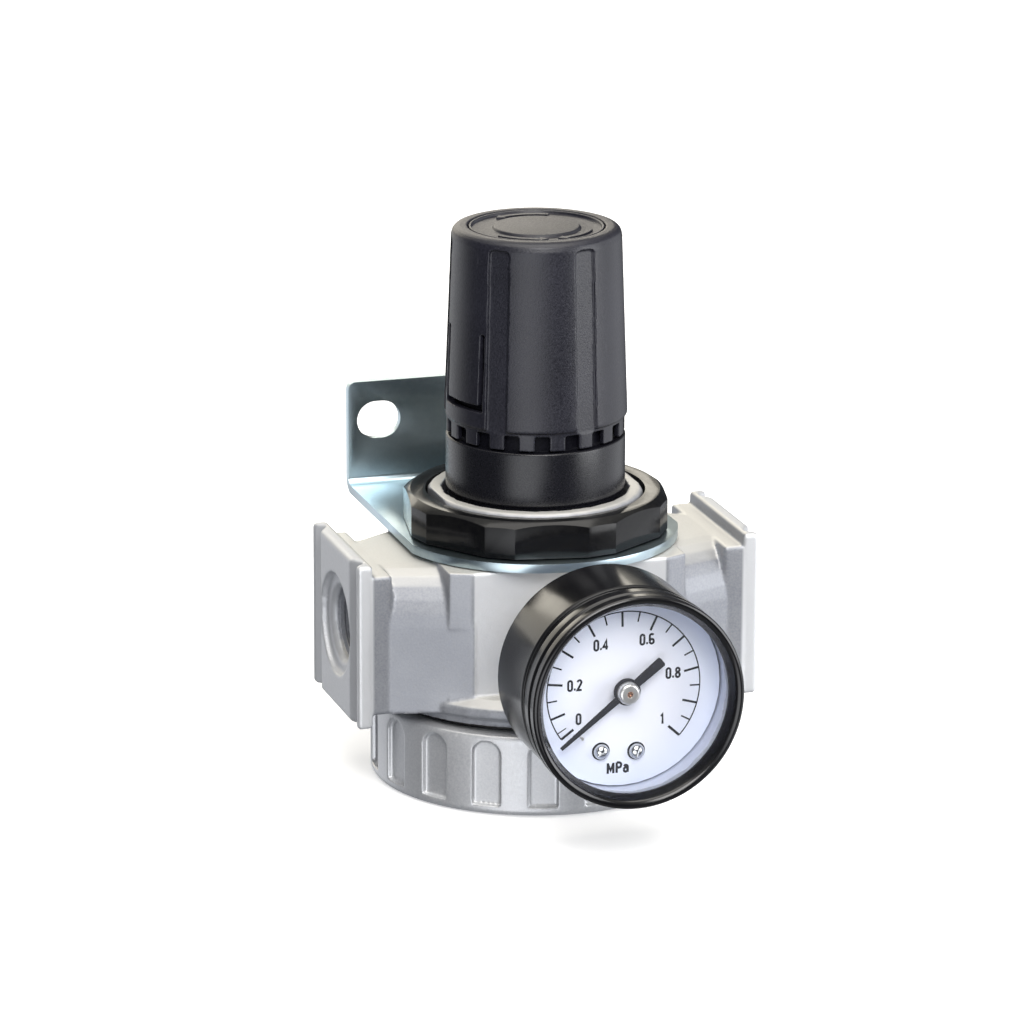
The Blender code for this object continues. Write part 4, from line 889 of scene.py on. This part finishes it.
def dial_screws(material):
    """The two slotted round-head screws that hold the dial."""
    face, foot, head, shank, rise = 55.8 * MM, 52.9 * MM, 1.52 * MM, 0.65 * MM, 1.2 * MM
    under = face - 0.2 * MM
    slopes = [math.radians(degrees) for degrees in range(0, 91, 9)]
    dome = [(head * math.sin(a), face + rise * math.cos(a)) for a in slopes]
    profile = dome + [(head, under), (shank, under), (shank, foot), (0.0, foot)]
    slot = box(-2 * MM, -0.15 * MM, 2 * MM, 0.15 * MM)
    for name, side, turned in (("left", -1, 25.0), ("right", 1, 70.0)):
        centre = dial_screw_place(side)
        item = settled(lathe("dial_screw_" + name + "_head", profile, 64, TO_FRONT, centre))
        turn = TO_FRONT @ Matrix.Rotation(math.radians(turned), 4, "Z")
        boolean(item, slab("slot", [slot], face + 0.8 * MM, face + 2 * MM, turn, centre))
        dressed(smooth(item), material, "housing", "screw_chrome", "dial_screw_" + name)


def coil(radius, thick, low, high, turns):
    """A compression spring's centre line with a closed turn at each end."""
    each = 36
    closed = 2.15 * thick
    low, high = low + thick, high - thick
    pitch = (high - low - 2 * closed) / (turns - 2)
    found = []
    for i in range(turns * each + 1):
        turn = i / each
        height = low + closed * min(turn, 1.0) + pitch * min(max(turn - 1.0, 0.0), turns - 2.0)
        height += closed * max(turn - turns + 1.0, 0.0)
        found.append((*polar(radius, 360.0 * turn), height))
    return found


def springs(material):
    """The two springs, each with its own copy of its mesh."""
    item = wire("main_spring_wire", coil(11.3 * MM, 1.2 * MM, 49.5 * MM, 80.7 * MM, 6), 1.2 * MM)
    dressed(item, material, "housing", "spring_steel", "main_spring")
    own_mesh(item)
    item = wire("valve_spring_wire", coil(4.45 * MM, 0.4 * MM, 18.0 * MM, 27.7 * MM, 6), 0.4 * MM)
    dressed(item, material, "housing", "spring_steel", "valve_spring")
    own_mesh(item)


def diaphragm_sheet(material):
    """The rubber diaphragm with its round convolution."""
    hole, edge, under, thick, lift = 3.4 * MM, 18.3 * MM, 46.3 * MM, 0.8 * MM, 0.9 * MM
    upper = [(hole, under + thick), (13.2 * MM, under + thick)]
    lower = [(hole, under), (13.4 * MM, under)]
    for i in range(13):
        share = i / 12
        rise = lift * math.sin(math.pi * share) ** 2
        upper.append((13.4 * MM + 2.6 * MM * share, under + thick + rise))
        lower.append((13.6 * MM + 2.2 * MM * share, under + rise))
    profile = upper + [(edge, under + thick), (edge, under)] + lower[::-1]
    item = dressed(lathe("diaphragm_sheet", profile, 128), material, "housing", "rubber", "diaphragm")
    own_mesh(item)


def repaint(material, *names):
    """Gives CAD pieces, which keep their shape, a material and smooth shading."""
    for name in names:
        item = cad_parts[name]
        item.data.materials.clear()
        item.data.materials.append(material)
        smooth(item)


def dress():
    """Every piece with its material."""
    plain = {name: finish(name, **look) for name, look in PLAIN_FINISHES.items()}
    cast = cast_metal()
    enamel = gauge_enamel()
    cast_body(cast)
    port_threads(cast)
    gripped_cap(plain["cap_aluminium"])
    collar(collar_moulding())
    moulded_knob(plain["knob_plastic"])
    knob_disc(plain["knob_plastic"])
    octagon_nut(plain["nut_plastic"])
    bent_bracket(zinc_plate())
    gauge_shells(enamel)
    dial_print(plain["ink"])
    gauge_pointer(plain["ink"])
    pointer_cap(plain["nickel"], plain["copper"])
    dial_screws(plain["chrome"])
    springs(plain["zinc_steel"])
    diaphragm_sheet(plain["rubber"])
    repaint(dial_enamel(), "dial")
    repaint(lens_clear(), "gauge_lens")
    repaint(plain["nickel"], "stop_pin")
    repaint(plain["zinc_steel"], "adjusting_screw", "thrust_washer", "diaphragm_plate", "port_plug")
    repaint(plain["brass"], "valve", "relief_seat", "adjusting_nut", "gauge_stem", "movement_plate",
            "sector_gear", "pinion", "bourdon_tube", "tube_tip")
    repaint(plain["rubber"], "cap_seal", "guide_o_ring", "valve_seal")
    repaint(plain["silicone"], "lens_gasket")
    repaint(plain["resin"], "valve_guide")


# ---------------------------------------------------------------- scene

def outward(azimuth, elevation, reach=1.0):
    """A place round the origin: azimuth from -Y towards +X, and elevation, in degrees."""
    flat = reach * math.cos(math.radians(elevation))
    x, y = polar(flat, azimuth - 90.0)
    return Vector((x, y, reach * math.sin(math.radians(elevation))))


def softbox(name, azimuth, elevation, reach, size, power, colour):
    """A soft light that looks at the object's middle. Reach and size are in metres, power in watts."""
    light = bpy.data.lights.new(name, "AREA")
    light.shape = "RECTANGLE"
    light.size, light.size_y = size
    light.energy = power
    light.color = colour
    item = bpy.data.objects.new(name, light)
    bpy.context.scene.collection.objects.link(item)
    middle = Vector((0.0, 0.0, 50 * MM))
    item.location = middle + outward(azimuth, elevation, reach)
    item.rotation_euler = (middle - item.location).to_track_quat("-Z", "Y").to_euler()


def sky():
    """A dim, cool studio with soft pale walls: front left, right, back left, behind, above and below."""
    world = bpy.data.worlds.new("studio")
    bpy.context.scene.world = world
    world.use_nodes = True
    tree = world.node_tree
    where = node(tree, "ShaderNodeTexCoord").outputs["Generated"]
    colour = (0.07, 0.075, 0.085)
    # each wall's direction, the angles off it where its fading starts and ends, and its colour
    walls = (((-29.0, -12.0), 13.0, 29.0, (2.6, 2.64, 2.72)),
             ((88.0, -10.0), 24.0, 50.0, (1.2, 1.22, 1.27)),
             ((-152.0, -10.0), 10.0, 34.0, (1.2, 1.22, 1.27)),
             ((184.0, 18.0), 14.0, 30.0, (1.7, 1.6, 1.38)),
             ((0.0, 90.0), 25.0, 60.0, (0.9, 0.88, 0.83)),
             ((0.0, -90.0), 20.0, 60.0, (0.4, 0.41, 0.43)))
    for towards, inner, outer, pale in walls:
        facing_it = node(tree, "ShaderNodeVectorMath", operation="DOT_PRODUCT")
        tree.links.new(where, facing_it.inputs[0])
        facing_it.inputs[1].default_value = outward(*towards)
        near, far = math.cos(math.radians(inner)), math.cos(math.radians(outer))
        colour = blended(tree, above(tree, facing_it.outputs["Value"], far, near), colour, pale)
    tree.links.new(colour, tree.nodes["Background"].inputs["Color"])


def floor_paint():
    """Matt white with a little light of its own."""
    white = bpy.data.materials.new("floor_white")
    white.use_nodes = True
    paint = white.node_tree.nodes["Principled BSDF"]
    paint.inputs["Base Color"].default_value = (0.9, 0.9, 0.9, 1.0)
    paint.inputs["Roughness"].default_value = 0.9
    paint.inputs["Specular IOR Level"].default_value = 0.1
    paint.inputs["Emission Color"].default_value = (1.0, 1.0, 1.0, 1.0)
    paint.inputs["Emission Strength"].default_value = 0.4
    return white


def studio():
    """A plain pale floor under a soft sky, with softboxes in front, above, behind and at the right."""
    bpy.context.scene.view_settings.view_transform = "Standard"
    sky()
    mesh = bpy.data.meshes.new("floor")
    shape = bmesh.new()
    bmesh.ops.create_grid(shape, x_segments=1, y_segments=1, size=6.0)
    shape.to_mesh(mesh)
    shape.free()
    floor = linked("floor", mesh, at=(0, 0, -0.2 * MM))
    floor.data.materials.append(floor_paint())
    floor.visible_glossy = False
    floor.visible_diffuse = False
    softbox("key", -8.0, 38.0, 1.3, (0.8, 0.6), 12.5, (1.0, 0.99, 0.98))
    softbox("top", 0.0, 82.0, 1.4, (1.4, 1.0), 13.0, (1.0, 0.97, 0.92))
    softbox("side", 52.0, 10.0, 0.45, (0.25, 0.3), 1.1, (0.98, 0.99, 1.0))
    softbox("behind", 178.0, 20.0, 1.3, (0.9, 0.25), 1.4, (1.0, 0.94, 0.82))


def camera():
    """A long lens from the front left and a little above, with a slight roll."""
    azimuth, elevation, roll = math.radians(-17.56), math.radians(16.13), math.radians(0.25)
    distance, target = 1.0745, Vector((-4.78 * MM, 0.0, 52.87 * MM))
    data = bpy.data.cameras.new("camera")
    data.sensor_width = 36.0
    data.lens = 191.1
    data.clip_start, data.clip_end = 0.05, 20.0
    item = bpy.data.objects.new("camera", data)
    bpy.context.scene.collection.objects.link(item)
    back = Vector((math.sin(azimuth) * math.cos(elevation), -math.cos(azimuth) * math.cos(elevation),
                   math.sin(elevation)))
    right = Vector((math.cos(azimuth), math.sin(azimuth), 0.0))
    up = back.cross(right)
    across = right * math.cos(roll) + up * math.sin(roll)
    upward = up * math.cos(roll) - right * math.sin(roll)
    turn = Matrix((across, upward, back)).transposed().to_4x4()
    item.matrix_world = Matrix.Translation(target + back * distance) @ turn
    bpy.context.scene.camera = item


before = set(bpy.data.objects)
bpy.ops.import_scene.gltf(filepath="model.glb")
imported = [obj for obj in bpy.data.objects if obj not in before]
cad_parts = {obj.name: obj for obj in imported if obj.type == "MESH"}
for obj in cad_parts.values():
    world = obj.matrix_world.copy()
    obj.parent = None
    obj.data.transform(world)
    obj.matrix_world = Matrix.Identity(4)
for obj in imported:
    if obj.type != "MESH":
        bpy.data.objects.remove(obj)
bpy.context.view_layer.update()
dress()
studio()
camera()
